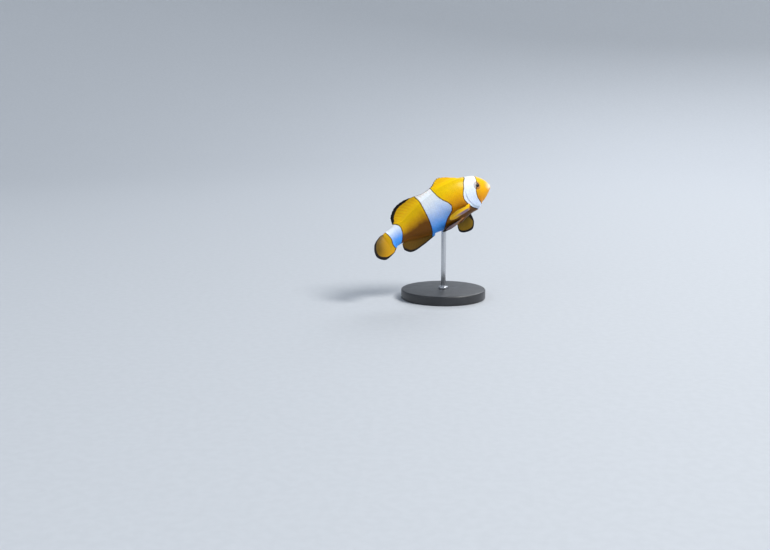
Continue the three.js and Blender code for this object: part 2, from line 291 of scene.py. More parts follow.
def place_corners(piece, points):
    """Puts the vertices of a piece in new places."""
    piece.data.vertices.foreach_set("co", np.asarray(points, np.float32).ravel())
    piece.data.update()


# %% [markdown]
# The join and the materials have to know what a vertex belongs to, so each one carries a few numbers,
# which Blender calls attributes. "part" is what it is a part of, "reach" how far out of the body it is,
# "edge" how far from its fin's dark edging and "ray" where a fin ray runs. The last two say how much
# painted shade darkens a fin, in dusky brown and in a bluish tint. An image could hold the same, but
# numbers need no unwrapping and never blur.

# %% Numbers on the vertices
NUMBERS = ("part", "reach", "edge", "ray", "dull", "grey")
PART_BODY, PART_MIDDLE_FIN, PART_PAIRED_FIN, PART_RIM = 1, 2, 3, 4
OUT_OF_REACH = 9  # mm from any edging or bar


def note(piece, name, values):
    """Writes a number for each vertex."""
    numbers = piece.data.attributes.get(name) or piece.data.attributes.new(name, "FLOAT", "POINT")
    numbers.data.foreach_set("value", np.asarray(values, np.float32).ravel())


def noted(piece, name):
    """Reads the numbers back."""
    found = np.empty(len(piece.data.vertices), np.float32)
    piece.data.attributes[name].data.foreach_get("value", found)
    return found


def note_flesh(piece, part):
    """The numbers of a piece that isn't a fin: no rays, and far from any fin's edging."""
    known = {"part": part, "edge": OUT_OF_REACH}
    for name in NUMBERS:
        note(piece, name, np.full(len(piece.data.vertices), known.get(name, 0)))


print("numbers on the skin:", ", ".join(NUMBERS))

# %% [markdown]
# A primitive brings its own map, a flat drawing of its faces that baked colours need. The pieces of
# the skin share one sheet, so each is squeezed into a rectangle of its own.

# %% Grids and their maps
MAP_PLACES = {  # left, bottom, right, top
    "skin": (0, 0, 0.77, 0.77),
    "dorsal": (0, 0.78, 0.62, 1),
    "anal": (0.63, 0.78, 1, 1),
    "tail": (0.78, 0, 1, 0.25),
    "pectoral_right": (0.78, 0.255, 1, 0.42),
    "pectoral_left": (0.78, 0.425, 1, 0.59),
    "pelvic_right": (0.78, 0.595, 1, 0.68),
    "pelvic_left": (0.78, 0.685, 1, 0.77),
    "rim_left": (0, 0.77, 0.3, 0.778),
    "rim_right": (0.32, 0.77, 0.62, 0.778),
}


def fit_map(piece):
    """Squeezes a primitive's own map into its rectangle of the sheet."""
    place = MAP_PLACES[piece.name]
    lay = piece.data.uv_layers[0]
    lay.name = "OFBake"
    flat = np.empty(len(lay.uv) * 2, np.float32)
    lay.uv.foreach_get("vector", flat)
    low, high = np.array(place[:2]), np.array(place[2:])
    lay.uv.foreach_set("vector", (low + flat.reshape(-1, 2) * (high - low)).astype(np.float32).ravel())


def new_grid(name, columns, rows):
    """A grid primitive, and how far along and across it each vertex is, from 0 to 1."""
    deselect_all()
    bpy.ops.mesh.primitive_grid_add(x_subdivisions=columns, y_subdivisions=rows, size=2)
    piece = bpy.context.object
    piece.name = name
    spread = (corners(piece)[:, :2] + 1) / 2
    fit_map(piece)
    return piece, spread[:, 0], spread[:, 1]


print("rectangles on the map:", len(MAP_PLACES))

# %% [markdown]
# Two formulas shape nearly everything that follows: a smooth step from 0 to 1, and a round bump. And
# once a grid has been rolled up, the vertices that meet are merged, which closes it.

# %% Shaping and closing
MERGE = 1e-6


def close_up(piece):
    """Merges the vertices that meet and turns all faces outwards."""
    choose(piece)
    bpy.ops.object.mode_set(mode="EDIT")
    bpy.ops.mesh.select_all(action="SELECT")
    bpy.ops.mesh.remove_doubles(threshold=MERGE)
    bpy.ops.mesh.normals_make_consistent(inside=False)
    bpy.ops.object.mode_set(mode="OBJECT")


def ease(x, low, high):
    """0 below low, 1 above high and smooth between."""
    t = np.clip((x - low) / (high - low), 0, 1)
    return t * t * (3 - 2 * t)


def mound(distance, width):
    """A smooth bump of height 1 at distance 0."""
    return np.exp(-((distance / width) ** 2))


print("merging corners nearer than", MERGE / MM, "mm")

# %% [markdown]
# ## The relief of the head
#
# The plain body is a smooth egg. What makes a head of it is relief a few tenths of a millimetre high:
# two thick lips with a deep slit between them, a socket for each eye, one nostril a side, the edge of
# the cheek and the free edge of the gill cover. Each is a small formula in the straight fish's own
# coordinates, and they are simply added up. A sculpted head would look as good, but couldn't be
# repeated exactly on both sides.
#
# `height * mound(distance, width)` is a ridge, and a furrow where it is taken away. Its numbers are
# all millimetres.

# %% Places on the head
MOUTH_DROP = math.radians(24)
MOUTH_CORNER = 4.3  # mm behind the tip of the snout, along the slit
LIP = 0.62  # mm from the slit to the middle of a lip
EYE_ROOT = math.sqrt(0.139)
EYE_ANGLE = math.radians(22)
EYE_RADIUS = 0.043 * LENGTH
EYE_HALF_DEPTH = 0.03 * LENGTH
EYE_SUNK = 1.62 * MM  # the eye's middle below the plain body
EYE_OPEN = 2.6 * MM  # radius of the opening that shows it
NOSTRIL = (4.7, -0.5)  # mm behind the snout, and up
GILL_COVER = (0.2, -0.025, 0.07, 0.112)  # middle (along, up) and half sizes, as shares
CHEEK = (0.16, -0.035, 0.048, 0.08)
PLATE_TILT = math.radians(-12)
SOCKET_GAP = 0.3 * MM  # under the eyeball, and the width of the slope beside it

eye_place = on_body(np.array(EYE_ROOT), np.array(EYE_ANGLE))
eye_out = body_normal(np.array(EYE_ROOT), np.array(EYE_ANGLE))
eye_back = unit(np.cross(eye_out, [0, 0, 1]))
eye_up = np.cross(eye_back, eye_out)


def from_eye(points):
    """How far out along the eye's axis points are, and how far from that axis. Both eyes at once."""
    away = points * [1, 0, 1] + np.abs(points * [0, 1, 0]) - eye_place
    out = away @ eye_out
    return out, np.linalg.norm(away - out[..., None] * eye_out, axis=-1)


def from_mouth(behind, up):
    """Height over the plane of the mouth, and distance behind the snout along it, in mm."""
    over = behind * math.sin(MOUTH_DROP) + (up - RISE(0) / MM) * math.cos(MOUTH_DROP)
    along = behind * math.cos(MOUTH_DROP) - (up - RISE(0) / MM) * math.sin(MOUTH_DROP)
    return over, along


print("eye axis", np.round(eye_out, 2), "- opening", 2 * EYE_OPEN / MM, "mm")

# %% [markdown]
# The lips swell on both sides of the slit, with a crease beyond each, and fade out at the corner of
# the mouth. The socket's floor follows the eyeball's own curve a little way under it, and a nostril
# is a pit with a low rim.

# %% Mouth, eye sockets and nostrils
def lips(behind, up):
    """A swelling and a crease on each side of the slit. The upper one comes first in each line."""
    over, along = from_mouth(behind, up)
    full = 1 - ease(along, 0.4, MOUTH_CORNER)
    closing = 1 - ease(along, MOUTH_CORNER - 1.6, MOUTH_CORNER + 0.2)
    swell = 0.34 * mound(over - LIP, 0.55) + 0.3 * mound(over + LIP, 0.5)
    slit = 0.7 * mound(over, 0.2)
    creases = 0.12 * mound(over - 2.5 * LIP, 0.3) + 0.1 * mound(over + 2.3 * LIP, 0.28)
    return full * (swell - creases) - closing * slit


def sockets(points):
    """A hollow for each eyeball, with a low ring round it."""
    out, away = from_eye(points)
    inside = np.clip(1 - (away / EYE_RADIUS) ** 2, 0, 1)
    eye_height = EYE_HALF_DEPTH * np.sqrt(inside) - EYE_SUNK
    under_eye = (eye_height - SOCKET_GAP - out) / MM
    rim = 0.12 * mound(away / MM - 3.4, 0.7)
    return rim + (under_eye - rim) * (1 - ease(away, EYE_OPEN, EYE_OPEN + SOCKET_GAP))


def nostrils(behind, up):
    """A low ring round a pit."""
    away = np.hypot(behind - NOSTRIL[0], up - NOSTRIL[1])
    return 0.1 * mound(away - 0.42, 0.15) - 0.5 * mound(away, 0.26)


print("the mouth opens", MOUTH_CORNER, "mm back, and its lips are", 2 * LIP, "mm apart")

# %% [markdown]
# A clownfish breathes out under a stiff plate, the gill cover, which is free at its rear and lower
# edge. There the plate stands out and drops into a narrow slot. The cheek in front is a smaller plate
# that only shows as a shallow furrow.

# %% Gill covers
def from_plate(along, high, plate):
    """Distance outside an oval plate's edge in mm, and how far round towards its rear and underside
    each point is, from 0 to 1."""
    dx, dz = along - plate[0], high - plate[1]
    across = (dx * math.cos(PLATE_TILT) + dz * math.sin(PLATE_TILT)) / plate[2]
    upward = (dz * math.cos(PLATE_TILT) - dx * math.sin(PLATE_TILT)) / plate[3]
    reach = np.hypot(across, upward)
    rearward = ease(across - 0.55 * upward, -0.15, 0.5)
    return (reach - 1) * plate[2] * LENGTH / MM, rearward


def gill_covers(along, high):
    """The flap stands out up to its free edge, and the slot behind it runs out backwards."""
    off_cover, open_edge = from_plate(along, high, GILL_COVER)
    flap = 0.32 * np.exp(np.minimum(off_cover, 0) / 1.5)
    slot = -0.25 * np.exp(-np.maximum(off_cover, 0) / 0.7)
    step = ease(off_cover, -0.12, 0.14)
    off_cheek, cheek_edge = from_plate(along, high, CHEEK)
    cheek = 0.1 * mound(off_cheek + 0.35, 0.45) - 0.18 * mound(off_cheek, 0.2)
    return open_edge * (flap * (1 - step) + slot * step) + cheek_edge * cheek


print("gill cover:", round(2 * GILL_COVER[2] * LENGTH / MM, 1), "mm long")

# %% [markdown]
# Two folds are left: the throat bulges where the gill covers meet under it, and each side has a low
# mound over the root of its breast fin. They are so long that they are measured in shares of the
# fish's length. All of the relief is then added up.

# %% All of the relief
def relief(points):
    """How far the skin stands out of the plain body, in metres."""
    behind, up = -points[..., 0] / MM, points[..., 2] / MM
    along, high = -points[..., 0] / LENGTH, points[..., 2] / LENGTH
    low = ease(-high, 0.06, 0.13)
    throat = 0.75 * mound(along - 0.2, 0.035) * low - 0.35 * mound(along - 0.135, 0.018) * low
    shoulder = 0.3 * np.exp(-(((along - 0.285) / 0.03) ** 2) - ((high + 0.07) / 0.045) ** 2)
    total = lips(behind, up) + nostrils(behind, up) + gill_covers(along, high) + throat + shoulder
    return MM * (total + sockets(points))


def on_skin(root, angle, lift=0.0):
    """Points over the finished skin, lifted along its outward direction."""
    plain = on_body(root, angle)
    out = (relief(plain) - COAT + lift) * np.sqrt(1 - past_end(root))
    return plain + body_normal(root, angle) * out[..., None]


eye_line = relief(on_body(np.linspace(0, 1, 500), np.array(EYE_ANGLE))) / MM
print("relief at the eyes' level:", round(eye_line.min(), 2), "to", round(eye_line.max(), 2), "mm")

# %% [markdown]
# ## The body's skin
#
# One grid is rolled round the body: its columns run from snout to tail and its rows go round. Both
# crowd where the fine relief is: the columns at the snout and the head, and the rows at mid height,
# where the eyes, nostrils and gill covers are. The relief then lifts each vertex.

# %% Body
BODY_COLUMNS = 292
BODY_ROWS = 152
HEADWARD = 0.3  # how much the columns crowd towards the head
CROWDING = 0.4  # how much closer the rows are at mid height

body, along, around = new_grid("skin", BODY_COLUMNS, BODY_ROWS)
body_root = ((1 - HEADWARD) * along + HEADWARD * along**2) * math.sqrt(TAIL_END)
even = 2 * math.pi * around - math.pi / 2
body_angle = even - CROWDING * np.sin(2 * even) / 2
place_corners(body, on_skin(body_root, body_angle))
note_flesh(body, PART_BODY)
close_up(body)
print("body:", len(body.data.vertices), "vertices")

# %% [markdown]
# ## Fins
#
# A fin is a fan of stiff rays with thin webbing between them. Here each fin is one grid folded over
# along the fin's outer edge, so that its two faces are one closed sheet: out along one face and back
# along the other. Each ray is a low ridge on both faces and splits in two towards the edge. Where
# the fin leaves the body its foot flares like a real fin's fleshy base.
# A flat plane with a fin painted on it would be quicker, but has no thickness against the light.

# %% Distance from the body and from a ray
TINY = 1e-9  # keeps a division by nothing away
FORK_APART = 0.25  # how far a branch ends from its ray's own line, in ray spacings


def above_body(points):
    """How far points lie outside the plain body."""
    at = np.maximum(-points[..., 0] / LENGTH, 0)
    root = np.sqrt(at)
    up = points[..., 2] - RISE(root)
    high = np.where(up > 0, BACK(root), BELLY(root)) + TINY
    reach = np.hypot(points[..., 1] / (HALF(root) + TINY), up / high) + TINY
    beside = (1 - 1 / reach) * np.hypot(points[..., 1], up)
    return np.where(at > 1, np.maximum(beside, (at - 1) * LENGTH), beside)


def from_ray(phase, v, fork):
    """Distance from the nearest ray, in ray spacings. Past `fork` of its length a ray splits in two."""
    apart = FORK_APART * ease(v, fork, 1.0)
    return np.abs(np.abs(phase - np.round(phase)) - apart)


print("a ray's branches end", 2 * FORK_APART, "of a spacing apart")

# %% [markdown]
# The sheet's middle plane, its rays and its edging differ from fin to fin and come as functions of two
# numbers: u runs from the first ray to the last, and v from root to edge. What all fins share is
# worked out here once: thickness, ridges, the flare at the foot and the rounded edge.

# %% Folding a grid into a fin
EDGE_CROWDING = 1.15  # above 1, the rows are closer together at the fin's edge
NEXT = 1e-3  # a small step in u
FOOT_MOST = 0.42  # the foot's flare is at most this share of the body's half width
RAY_HEIGHT = 0.09 * MM
RAY_HALF = 0.15  # a ridge's half width in ray spacings
RAY_STAIN = 0.2  # the same for the ray's colour
RAY_FADE = 0.55  # the share of its height that a ray loses on its way out
MUSCLE_END = 0.3  # how far out the fleshy base reaches
EDGE_ROUND = 0.3 * MM  # the edge is rounded over at least this width
ROOT_ROUND = 0.08  # and the root over this share of the fin
SHOWS_AT = 2 * MM  # what is this far out of the body has a fin's full colours
FIN_COLOUR_AT = 0.4  # share of SHOWS_AT over which those colours come in
FOOT_CLEAR = 3  # mm that keep the dark edging off the foot


def nowhere(u, v):
    return 0 * u


def fin_sheet(
    name, part, columns, rows, middle, side, spoke, foot, thick, black, wave,
    ends=(1, 1), fleshy=0.0, dull=nowhere, grey=nowhere,
):
    """A closed fin. middle(u, v) is its middle plane, and side the direction across it. spoke(u, v)
    gives each place's distance from the nearest ray, in ray spacings. foot is how wide the flare is,
    thick half the thickness at root and edge, and fleshy what muscle adds at the root. wave(u, v)
    moves the sheet sideways. black(u) is the width in mm of the dark edging, which is `ends` times
    narrower along the first and last ray, or missing there if that is 0."""
    piece, u, across = new_grid(name, columns, 2 * rows)
    v = 1 - np.abs(2 * across - 1) ** EDGE_CROWDING
    face = np.sign(0.5 - across)
    where = middle(u, v)

    # How far each place is from the fin's front, rear and outer edge.
    after, before = np.minimum(u + NEXT, 1), np.maximum(u - NEXT, 0)
    spread = np.linalg.norm(middle(after, v) - middle(before, v), axis=-1) / (after - before)
    run = np.linalg.norm(middle(u, v * 0 + 1) - middle(u, v * 0), axis=-1)
    from_front, from_rear, from_edge = u * spread, (1 - u) * spread, (1 - v) * run
    nearest = np.minimum(np.minimum(from_front, from_rear), from_edge)

    # Half the thickness: webbing with muscle at the root, a ridge on each ray, and the flare.
    foot_here = np.minimum(foot, FOOT_MOST * HALF(np.sqrt(np.clip(-where[:, 0] / LENGTH, 0, 1))))
    outside = np.clip(above_body(where) / foot_here, 0, 1)
    flare = foot_here * (1 - np.sqrt(1 - (1 - outside) ** 2))
    ridge = RAY_HEIGHT * mound(np.abs(spoke(u, v)), RAY_HALF) * (1 - RAY_FADE * v)
    web = thick[0] + (thick[1] - thick[0]) * np.sqrt(np.clip(v, 0, 1))
    web = web + fleshy * (1 - ease(v, 0.0, MUSCLE_END))
    rim = np.maximum(EDGE_ROUND, web + flare)
    rounding = np.sqrt(np.clip(1 - (1 - np.clip(nearest / rim, 0, 1)) ** 2, 0, 1))
    closing = np.sqrt(np.clip(v / ROOT_ROUND, 0, 1))
    half = (web + ridge + flare) * rounding * closing
    place_corners(piece, where + (face * half + wave(u, v))[:, None] * side)

    # The dark edging. An end without any counts as a metre away.
    first_dark, last_dark = (
        near * narrower if narrower else 1 for near, narrower in zip((from_front, from_rear), ends)
    )
    nearest_dark = np.minimum(from_edge, np.minimum(first_dark, last_dark))
    reach = np.clip(above_body(where) / SHOWS_AT, 0, 1)
    note_flesh(piece, part)
    note(piece, "reach", reach)
    note(piece, "edge", nearest_dark / MM - black(u) + FOOT_CLEAR * (1 - reach))
    note(piece, "ray", mound(np.abs(spoke(u, v)), RAY_STAIN))
    # Two more numbers paint shade on fins out of the light: a dusky darkening and a bluish one.
    note(piece, "dull", dull(u, v) * ease(reach, 0, FIN_COLOUR_AT))
    note(piece, "grey", grey(u, v) * ease(reach, 0, FIN_COLOUR_AT))
    close_up(piece)
    print(f"{name}: {len(piece.data.vertices)} vertices")
    return piece


print("rays stand out", round(RAY_HEIGHT / MM, 2), "mm at their roots")

# %% [markdown]
# The fin along the back is one fin in life, with hard spines in front and soft rays behind a dip. The
# CAD model has it in two nodes, with the same outline, so one sheet can stand for both. It and the
# fin under the tail stalk stand on the body's middle line, and the same function places both.

# %% Fins on the middle line
SUNK = 2 * MM  # how far a fin starts inside the body
ACROSS = np.array([0, 1, 0])
FOOT = 1.5 * MM
WEBBING = (0.42 * MM, 0.13 * MM)  # half the thickness at root and edge


def median_middle(start, end, up, lean, length, ragged):
    """Middle plane of a fin on the back (up 1) or belly (up -1). ragged(at) shortens the webbing."""
    edge_of = BACK if up > 0 else BELLY

    def middle(u, v):
        at = start + (end - start) * u
        root = np.sqrt(at)
        angle = np.radians(lean(at))
        direction = np.stack([-np.sin(angle), 0 * at, up * np.cos(angle)], -1)
        foot = np.stack([-at * LENGTH, 0 * at, RISE(root) + up * edge_of(root)], -1)
        run = length(at) * LENGTH * ragged(at) + SUNK
        return foot + direction * (run * v - SUNK)[..., None]

    return middle


print("fins start", SUNK / MM, "mm inside the body")

# %% [markdown]
# Places along the back are shares of the fish's length, as everywhere, and so is the fin's height. The
# webbing dips between the spines, which makes the front half's edge ragged.

# %% Fin on the back
DORSAL_START = 0.24
DORSAL_END = 0.915
SPINES_END = 0.508
SPINE_COUNT = 10
SOFT_COUNT = 15
SPINE_DIP = 0.1  # share of the height lost between two spines
SOFT_DIP = 0.02
SPINE_FORK = 2  # spines never split
SOFT_FORK = 0.4
DORSAL_LEAN = smooth_through(  # degrees back from upright
    (0.24, 55), (0.344, 42), (0.5, 38), (0.515, 35), (0.695, 44), (0.803, 54), (0.915, 62),
)
DORSAL_LENGTH = smooth_through(
    (0.24, 0.04), (0.279, 0.085), (0.334, 0.098), (0.383, 0.079), (0.458, 0.04), (0.5, 0.032),
    (0.515, 0.032), (0.555, 0.036), (0.615, 0.07), (0.683, 0.118), (0.739, 0.132), (0.811, 0.112),
    (0.875, 0.058), (0.915, 0.014),
)


def dorsal_place(u):
    return DORSAL_START + (DORSAL_END - DORSAL_START) * u


def dorsal_phase(at):
    spines = SPINE_COUNT * (at - DORSAL_START) / (SPINES_END - DORSAL_START)
    soft = SPINE_COUNT + SOFT_COUNT * (at - SPINES_END) / (DORSAL_END - SPINES_END)
    return np.where(at < SPINES_END, spines, soft)


def dorsal_ragged(at):
    between = np.sin(math.pi * dorsal_phase(at)) ** 2
    return 1 - between * np.where(at < SPINES_END, SPINE_DIP, SOFT_DIP)


def dorsal_spoke(u, v):
    at = dorsal_place(u)
    return from_ray(dorsal_phase(at), v, np.where(at < SPINES_END, SPINE_FORK, SOFT_FORK))


def dorsal_black(u):
    """Hardly any edging on the spines but for their highest, and a broad one on the soft rays."""
    return 0.15 + 1.85 * ease(u, 0.57, 0.66) + 0.3 * ease(u, 0.2, 0.3) * (1 - ease(u, 0.36, 0.44))


dorsal = fin_sheet(
    "dorsal", PART_MIDDLE_FIN, 200, 24,
    median_middle(DORSAL_START, DORSAL_END, 1, DORSAL_LEAN, DORSAL_LENGTH, dorsal_ragged),
    ACROSS, dorsal_spoke, foot=FOOT, thick=WEBBING, black=dorsal_black, ends=(0, 1),
    wave=lambda u, v: 0.35 * MM * v**2 * np.sin(9 * u),
    # Painted shade darkens the outer part of the soft rays.
    dull=lambda u, v: 0.22 * ease(u, 0.5, 0.62) * ease(v, 0.2, 0.8),
)

# %% [markdown]
# The fin under the tail stalk is the soft back fin's mirror image, a little shorter, and darkened by
# painted shade, most towards its edge.

# %% Fin under the tail stalk
ANAL_START = 0.63
ANAL_END = 0.925
ANAL_COUNT = 14
ANAL_LEAN = smooth_through((0.63, 40), (0.7185, 43), (0.822, 50), (0.925, 60))
ANAL_LENGTH = smooth_through(
    (0.63, 0.022), (0.7185, 0.086), (0.807, 0.127), (0.866, 0.1), (0.901, 0.052), (0.925, 0.012),
)
anal = fin_sheet(
    "anal", PART_MIDDLE_FIN, 104, 20,
    median_middle(ANAL_START, ANAL_END, -1, ANAL_LEAN, ANAL_LENGTH, lambda at: 1 + 0 * at),
    ACROSS, lambda u, v: from_ray(ANAL_COUNT * u, v, SOFT_FORK), foot=FOOT, thick=WEBBING,
    black=lambda u: 1 + 0.5 * ease(u, 0.1, 0.5) - 0.7 * ease(u, 0.75, 0.95),
    wave=lambda u, v: 0.3 * MM * v**2 * np.sin(7 * u + 1),
    # Painted shade darkens the whole fin, most towards its edge.
    dull=lambda u, v: 0.3 + 0.5 * ease(v, 0.1, 0.6),
)

# %% [markdown]
# The tail fin is a rounded paddle that fans out from the end of the tail stalk. Its rays are many and
# fine, so they get a few more columns each.

# %% Tail fin
FAN = smooth_through((0, -26), (0.2, -20), (0.5, -6), (1, 10))  # degrees up from straight back
TAIL_LENGTH = smooth_through(
    (0, 0.055), (0.12, 0.122), (0.3, 0.216), (0.5, 0.265), (0.8, 0.19), (1, 0.075),
)
TAIL_ROOT_HALF = 0.066 * LENGTH
TAIL_COUNT = 15
TAIL_FOOT = 1.6 * MM
SIDE_FORK = 0.35  # where the rays of the tail and the paired fins split


def tail_middle(u, v):
    angle = np.radians(FAN(u))
    run = TAIL_LENGTH(u) * LENGTH + SUNK
    foot = np.stack([0 * u - LENGTH + SUNK, 0 * u, (2 * u - 1) * TAIL_ROOT_HALF], -1)
    direction = np.stack([-np.cos(angle), 0 * u, np.sin(angle)], -1)
    return foot + direction * (run * v)[..., None]


tail = fin_sheet(
    "tail", PART_MIDDLE_FIN, 128, 26, tail_middle, ACROSS,
    lambda u, v: from_ray(TAIL_COUNT * u, v, SIDE_FORK), foot=TAIL_FOOT, thick=WEBBING,
    black=lambda u: 0.7 + 1.8 * np.sin(math.pi * np.clip(u, 0, 1)) ** 0.7 + 0.7 * mound(u - 0.25, 0.13),
    wave=lambda u, v: 0.3 * MM * v**2 * np.sin(8 * u),
    # Painted shade darkens the tail fin's upper outer part, and the rest a little.
    dull=lambda u, v: 0.07 + 0.85 * ease(v, 0.2, 0.8) * ease(u, 0.15, 0.6),
)

# %% [markdown]
# The paired fins swing out from the sides. The near breast fin is spread backwards and outwards, the
# far one reaches down and forwards as it brakes, and the belly fins are folded back. They leave the
# body at so flat an angle that each one's base is bent inwards, or its end would show as a step.

# %% A paired fin
PAIRED_SUNK = 1.2 * MM
PAIRED_DIVE = 1.3 * MM  # how steeply the fleshy base comes up out of the body
DIVE_END = 0.22  # and how far out it does
PAIRED_FOOT = 0.8 * MM
PAIRED_WEBBING = (0.34 * MM, 0.12 * MM)
RIPPLE = 0.12 * MM
RIPPLES = 14


def paired_fin(name, columns, rows, top, bottom, first, last, length, count, bow, black, **more):
    """top and bottom are the ends of the root line as (place, angle in degrees), and the rays turn
    from `first` to `last`. The fin bows sideways by `bow`."""
    high, low = (on_body(np.array(math.sqrt(at)), np.radians(angle)) for at, angle in (top, bottom))
    first, last = np.array(first), np.array(last)
    outward = body_normal(np.array(math.sqrt(top[0])), np.radians((top[1] + bottom[1]) / 2))
    side = unit(np.cross(first, last))

    def middle(u, v):
        direction = unit(first + (last - first) * u[..., None])
        run = length(u) * LENGTH + PAIRED_SUNK
        dive = PAIRED_DIVE * np.clip(1 - v / DIVE_END, 0, 1) ** 2
        foot = high + (low - high) * u[..., None] - outward * dive[..., None]
        return foot + direction * (run * v - PAIRED_SUNK)[..., None]

    return fin_sheet(
        name, PART_PAIRED_FIN, columns, rows, middle, side,
        lambda u, v: from_ray(count * u, v, SIDE_FORK),
        foot=PAIRED_FOOT, thick=PAIRED_WEBBING, black=black,
        wave=lambda u, v: bow * v**2 * (4 * u * (1 - u)) + RIPPLE * v**2 * np.sin(RIPPLES * u),
        **more,
    )


print("paired fins start", PAIRED_SUNK / MM, "mm inside the body")

# %% [markdown]
# The breast fins are broad paddles of sixteen rays. The near one has a patch of painted bluish shade
# at its root, and the far one is darkened all over by painted shade, with a broad dark edging.

# %% Breast fins
NEAR_LENGTH = smooth_through((0, 0.155), (0.2, 0.23), (0.5, 0.246), (0.8, 0.222), (1, 0.155))
FAR_LENGTH = smooth_through(
    (0, 0.165), (0.1, 0.24), (0.3, 0.283), (0.55, 0.275), (0.8, 0.25), (1, 0.175),
)
PECTORAL = {"columns": 112, "rows": 24, "count": 16, "fleshy": 0.35 * MM}

pectoral_right = paired_fin(
    "pectoral_right", top=(0.271, 202), bottom=(0.285, 220),
    first=(-0.87, -0.46, 0.2), last=(-0.95, -0.28, 0.03), length=NEAR_LENGTH,
    bow=0.4 * MM, black=lambda u: 0.25 + 0.5 * u,
    # Painted shade darkens its outer half, and painted bluish shade lies at the root of the lower rays.
    dull=lambda u, v: 0.4 * ease(v, 0.3, 0.9),
    grey=lambda u, v: 0.9 * ease(u, 0.4, 0.6) * (1 - ease(v, 0.45, 0.85)),
    **PECTORAL,
)
pectoral_left = paired_fin(
    "pectoral_left", top=(0.273, -18), bottom=(0.289, -32),
    first=(0.3, 0.2, -0.93), last=(-0.63, 0.22, -0.73), length=FAR_LENGTH,
    bow=0.5 * MM, black=lambda u: 1.9 - 0.5 * u, ends=(0.5, 1),
    # Painted shade darkens the far fin nearly all over.
    dull=lambda u, v: 1 - 0.15 * ease(v, 0.4, 1),
    **PECTORAL,
)

# %% [markdown]
# The belly fins are a small pair of six rays each, close together under the breast and folded back
# along the belly. One call in a loop makes both, because they only differ by their side.

# %% Belly fins
PELVIC_LENGTH = smooth_through((0, 0.2), (0.3, 0.245), (0.6, 0.22), (1, 0.14))

pelvics = [
    paired_fin(
        f"pelvic_{name}", 54, 22, top=(0.335, -90 - side * 32), bottom=(0.36, -90 - side * 12),
        first=(-0.97, -side * 0.2, 0.06), last=(-0.98, -side * 0.1, -0.06), length=PELVIC_LENGTH,
        count=6, bow=0.3 * MM, black=lambda u: 2.6 + 0 * u, ends=(3, 3), fleshy=0.3 * MM,
        # Painted shade darkens both belly fins and tints them bluish.
        dull=lambda u, v: 0.6 + 0.3 * v, grey=lambda u, v: 0.6 + 0 * u,
    )
    for name, side in (("right", 1), ("left", -1))
]

# %% [markdown]
# ## The rims of the eyes
#
# A fish has no eyelids. The skin ends in a thin round fold that hugs the eyeball. The body's grid is
# too coarse for so small a circle, so a torus makes the fold and is joined on.

# %% Rims of the eyes
RIM_RADIUS = EYE_OPEN + 0.2 * MM
RIM_THICK = 0.34 * MM
RIM_FLAT = 0.8  # the fold's height as a share of a round one's
RIM_PROUD = 0.22 * MM  # its middle over the eyeball there


def in_eye_frame(points, side):
    """Points given as (back, up, out) from an eye's place, on the straight fish. side 1 is left."""
    put = eye_place + points[:, :1] * eye_back + points[:, 1:2] * eye_up + points[:, 2:] * eye_out
    return put * [1, side, 1]


def eye_rim(name, side):
    """The fold round one eye."""
    deselect_all()
    bpy.ops.mesh.primitive_torus_add(
        major_radius=RIM_RADIUS, minor_radius=RIM_THICK, major_segments=72, minor_segments=12
    )
    rim = bpy.context.object
    rim.name = name
    ring = corners(rim)
    height = EYE_HALF_DEPTH * math.sqrt(1 - (RIM_RADIUS / EYE_RADIUS) ** 2) - EYE_SUNK
    ring[:, 2] = ring[:, 2] * RIM_FLAT + height + RIM_PROUD
    place_corners(rim, in_eye_frame(ring, side))
    note_flesh(rim, PART_RIM)
    fit_map(rim)
    close_up(rim)
    return rim


rims = [eye_rim("rim_left", 1), eye_rim("rim_right", -1)]
print("rims:", 2 * len(rims[0].data.vertices), "vertices")

# %% [markdown]
# ## One skin
#
# The Boolean modifier joins body, fins and rims into one closed skin. The join leaves a sharp crease
# round each fin's foot, where life has a soft one, so the vertices that the join made there are
# selected, grown by a few rings and smoothed. The eyes' rims are left alone, because they are too fine
# for it. The new vertices have no numbers of their own yet and borrow their nearest neighbour's.

# %% Join
SOFT_RINGS = 4  # how far from the join the skin is smoothed
SOFT_REPEATS = 12
NEAR_EYE = 5 * MM  # nothing nearer than this to an eye's axis is smoothed

choose(body)
for piece in (dorsal, anal, tail, pectoral_right, pectoral_left, *pelvics, *rims):
    union = body.modifiers.new("union", "BOOLEAN")
    union.operation = "UNION"
    union.solver = "MANIFOLD"
    union.object = piece
    bpy.ops.object.modifier_apply(modifier=union.name)
    bpy.data.objects.remove(piece)

made_by_join = noted(body, "part") < 0.5
_, from_eye_axis = from_eye(corners(body))
body.data.vertices.foreach_set("select", made_by_join & (from_eye_axis > NEAR_EYE))
body.data.edges.foreach_set("select", np.zeros(len(body.data.edges), bool))
body.data.polygons.foreach_set("select", np.zeros(len(body.data.polygons), bool))
bpy.ops.object.mode_set(mode="EDIT")
bpy.ops.mesh.select_mode(type="VERT")
for _ in range(SOFT_RINGS):
    bpy.ops.mesh.select_more()
bpy.ops.mesh.vertices_smooth(factor=0.5, repeat=SOFT_REPEATS)
bpy.ops.object.mode_set(mode="OBJECT")

places = corners(body)
known = np.flatnonzero(~made_by_join)
tree = KDTree(len(known))
for i in known:
    tree.insert(places[i], int(i))
tree.balance()
new = np.flatnonzero(made_by_join)
source = np.array([tree.find(places[i])[1] for i in new])
for name in NUMBERS:
    values = noted(body, name)
    values[new] = values[source]
    note(body, name, values)
triangles = sum(len(p.vertices) - 2 for p in body.data.polygons)
print("skin:", triangles, "triangles,", len(new), "vertices made by the join")

# %% [markdown]
# ## The markings
#
# Three white bars with thin black lines along them, and nothing else: a clownfish is easy to
# recognise because its bars are always in the same places. Each bar lies between two curves that say
# how far along the fish it starts and ends at every height. The distance to the nearest of those
# edges is written on the vertices in millimetres, positive inside a bar, so that skin, scales and
# eyes can share one recipe for the colours.

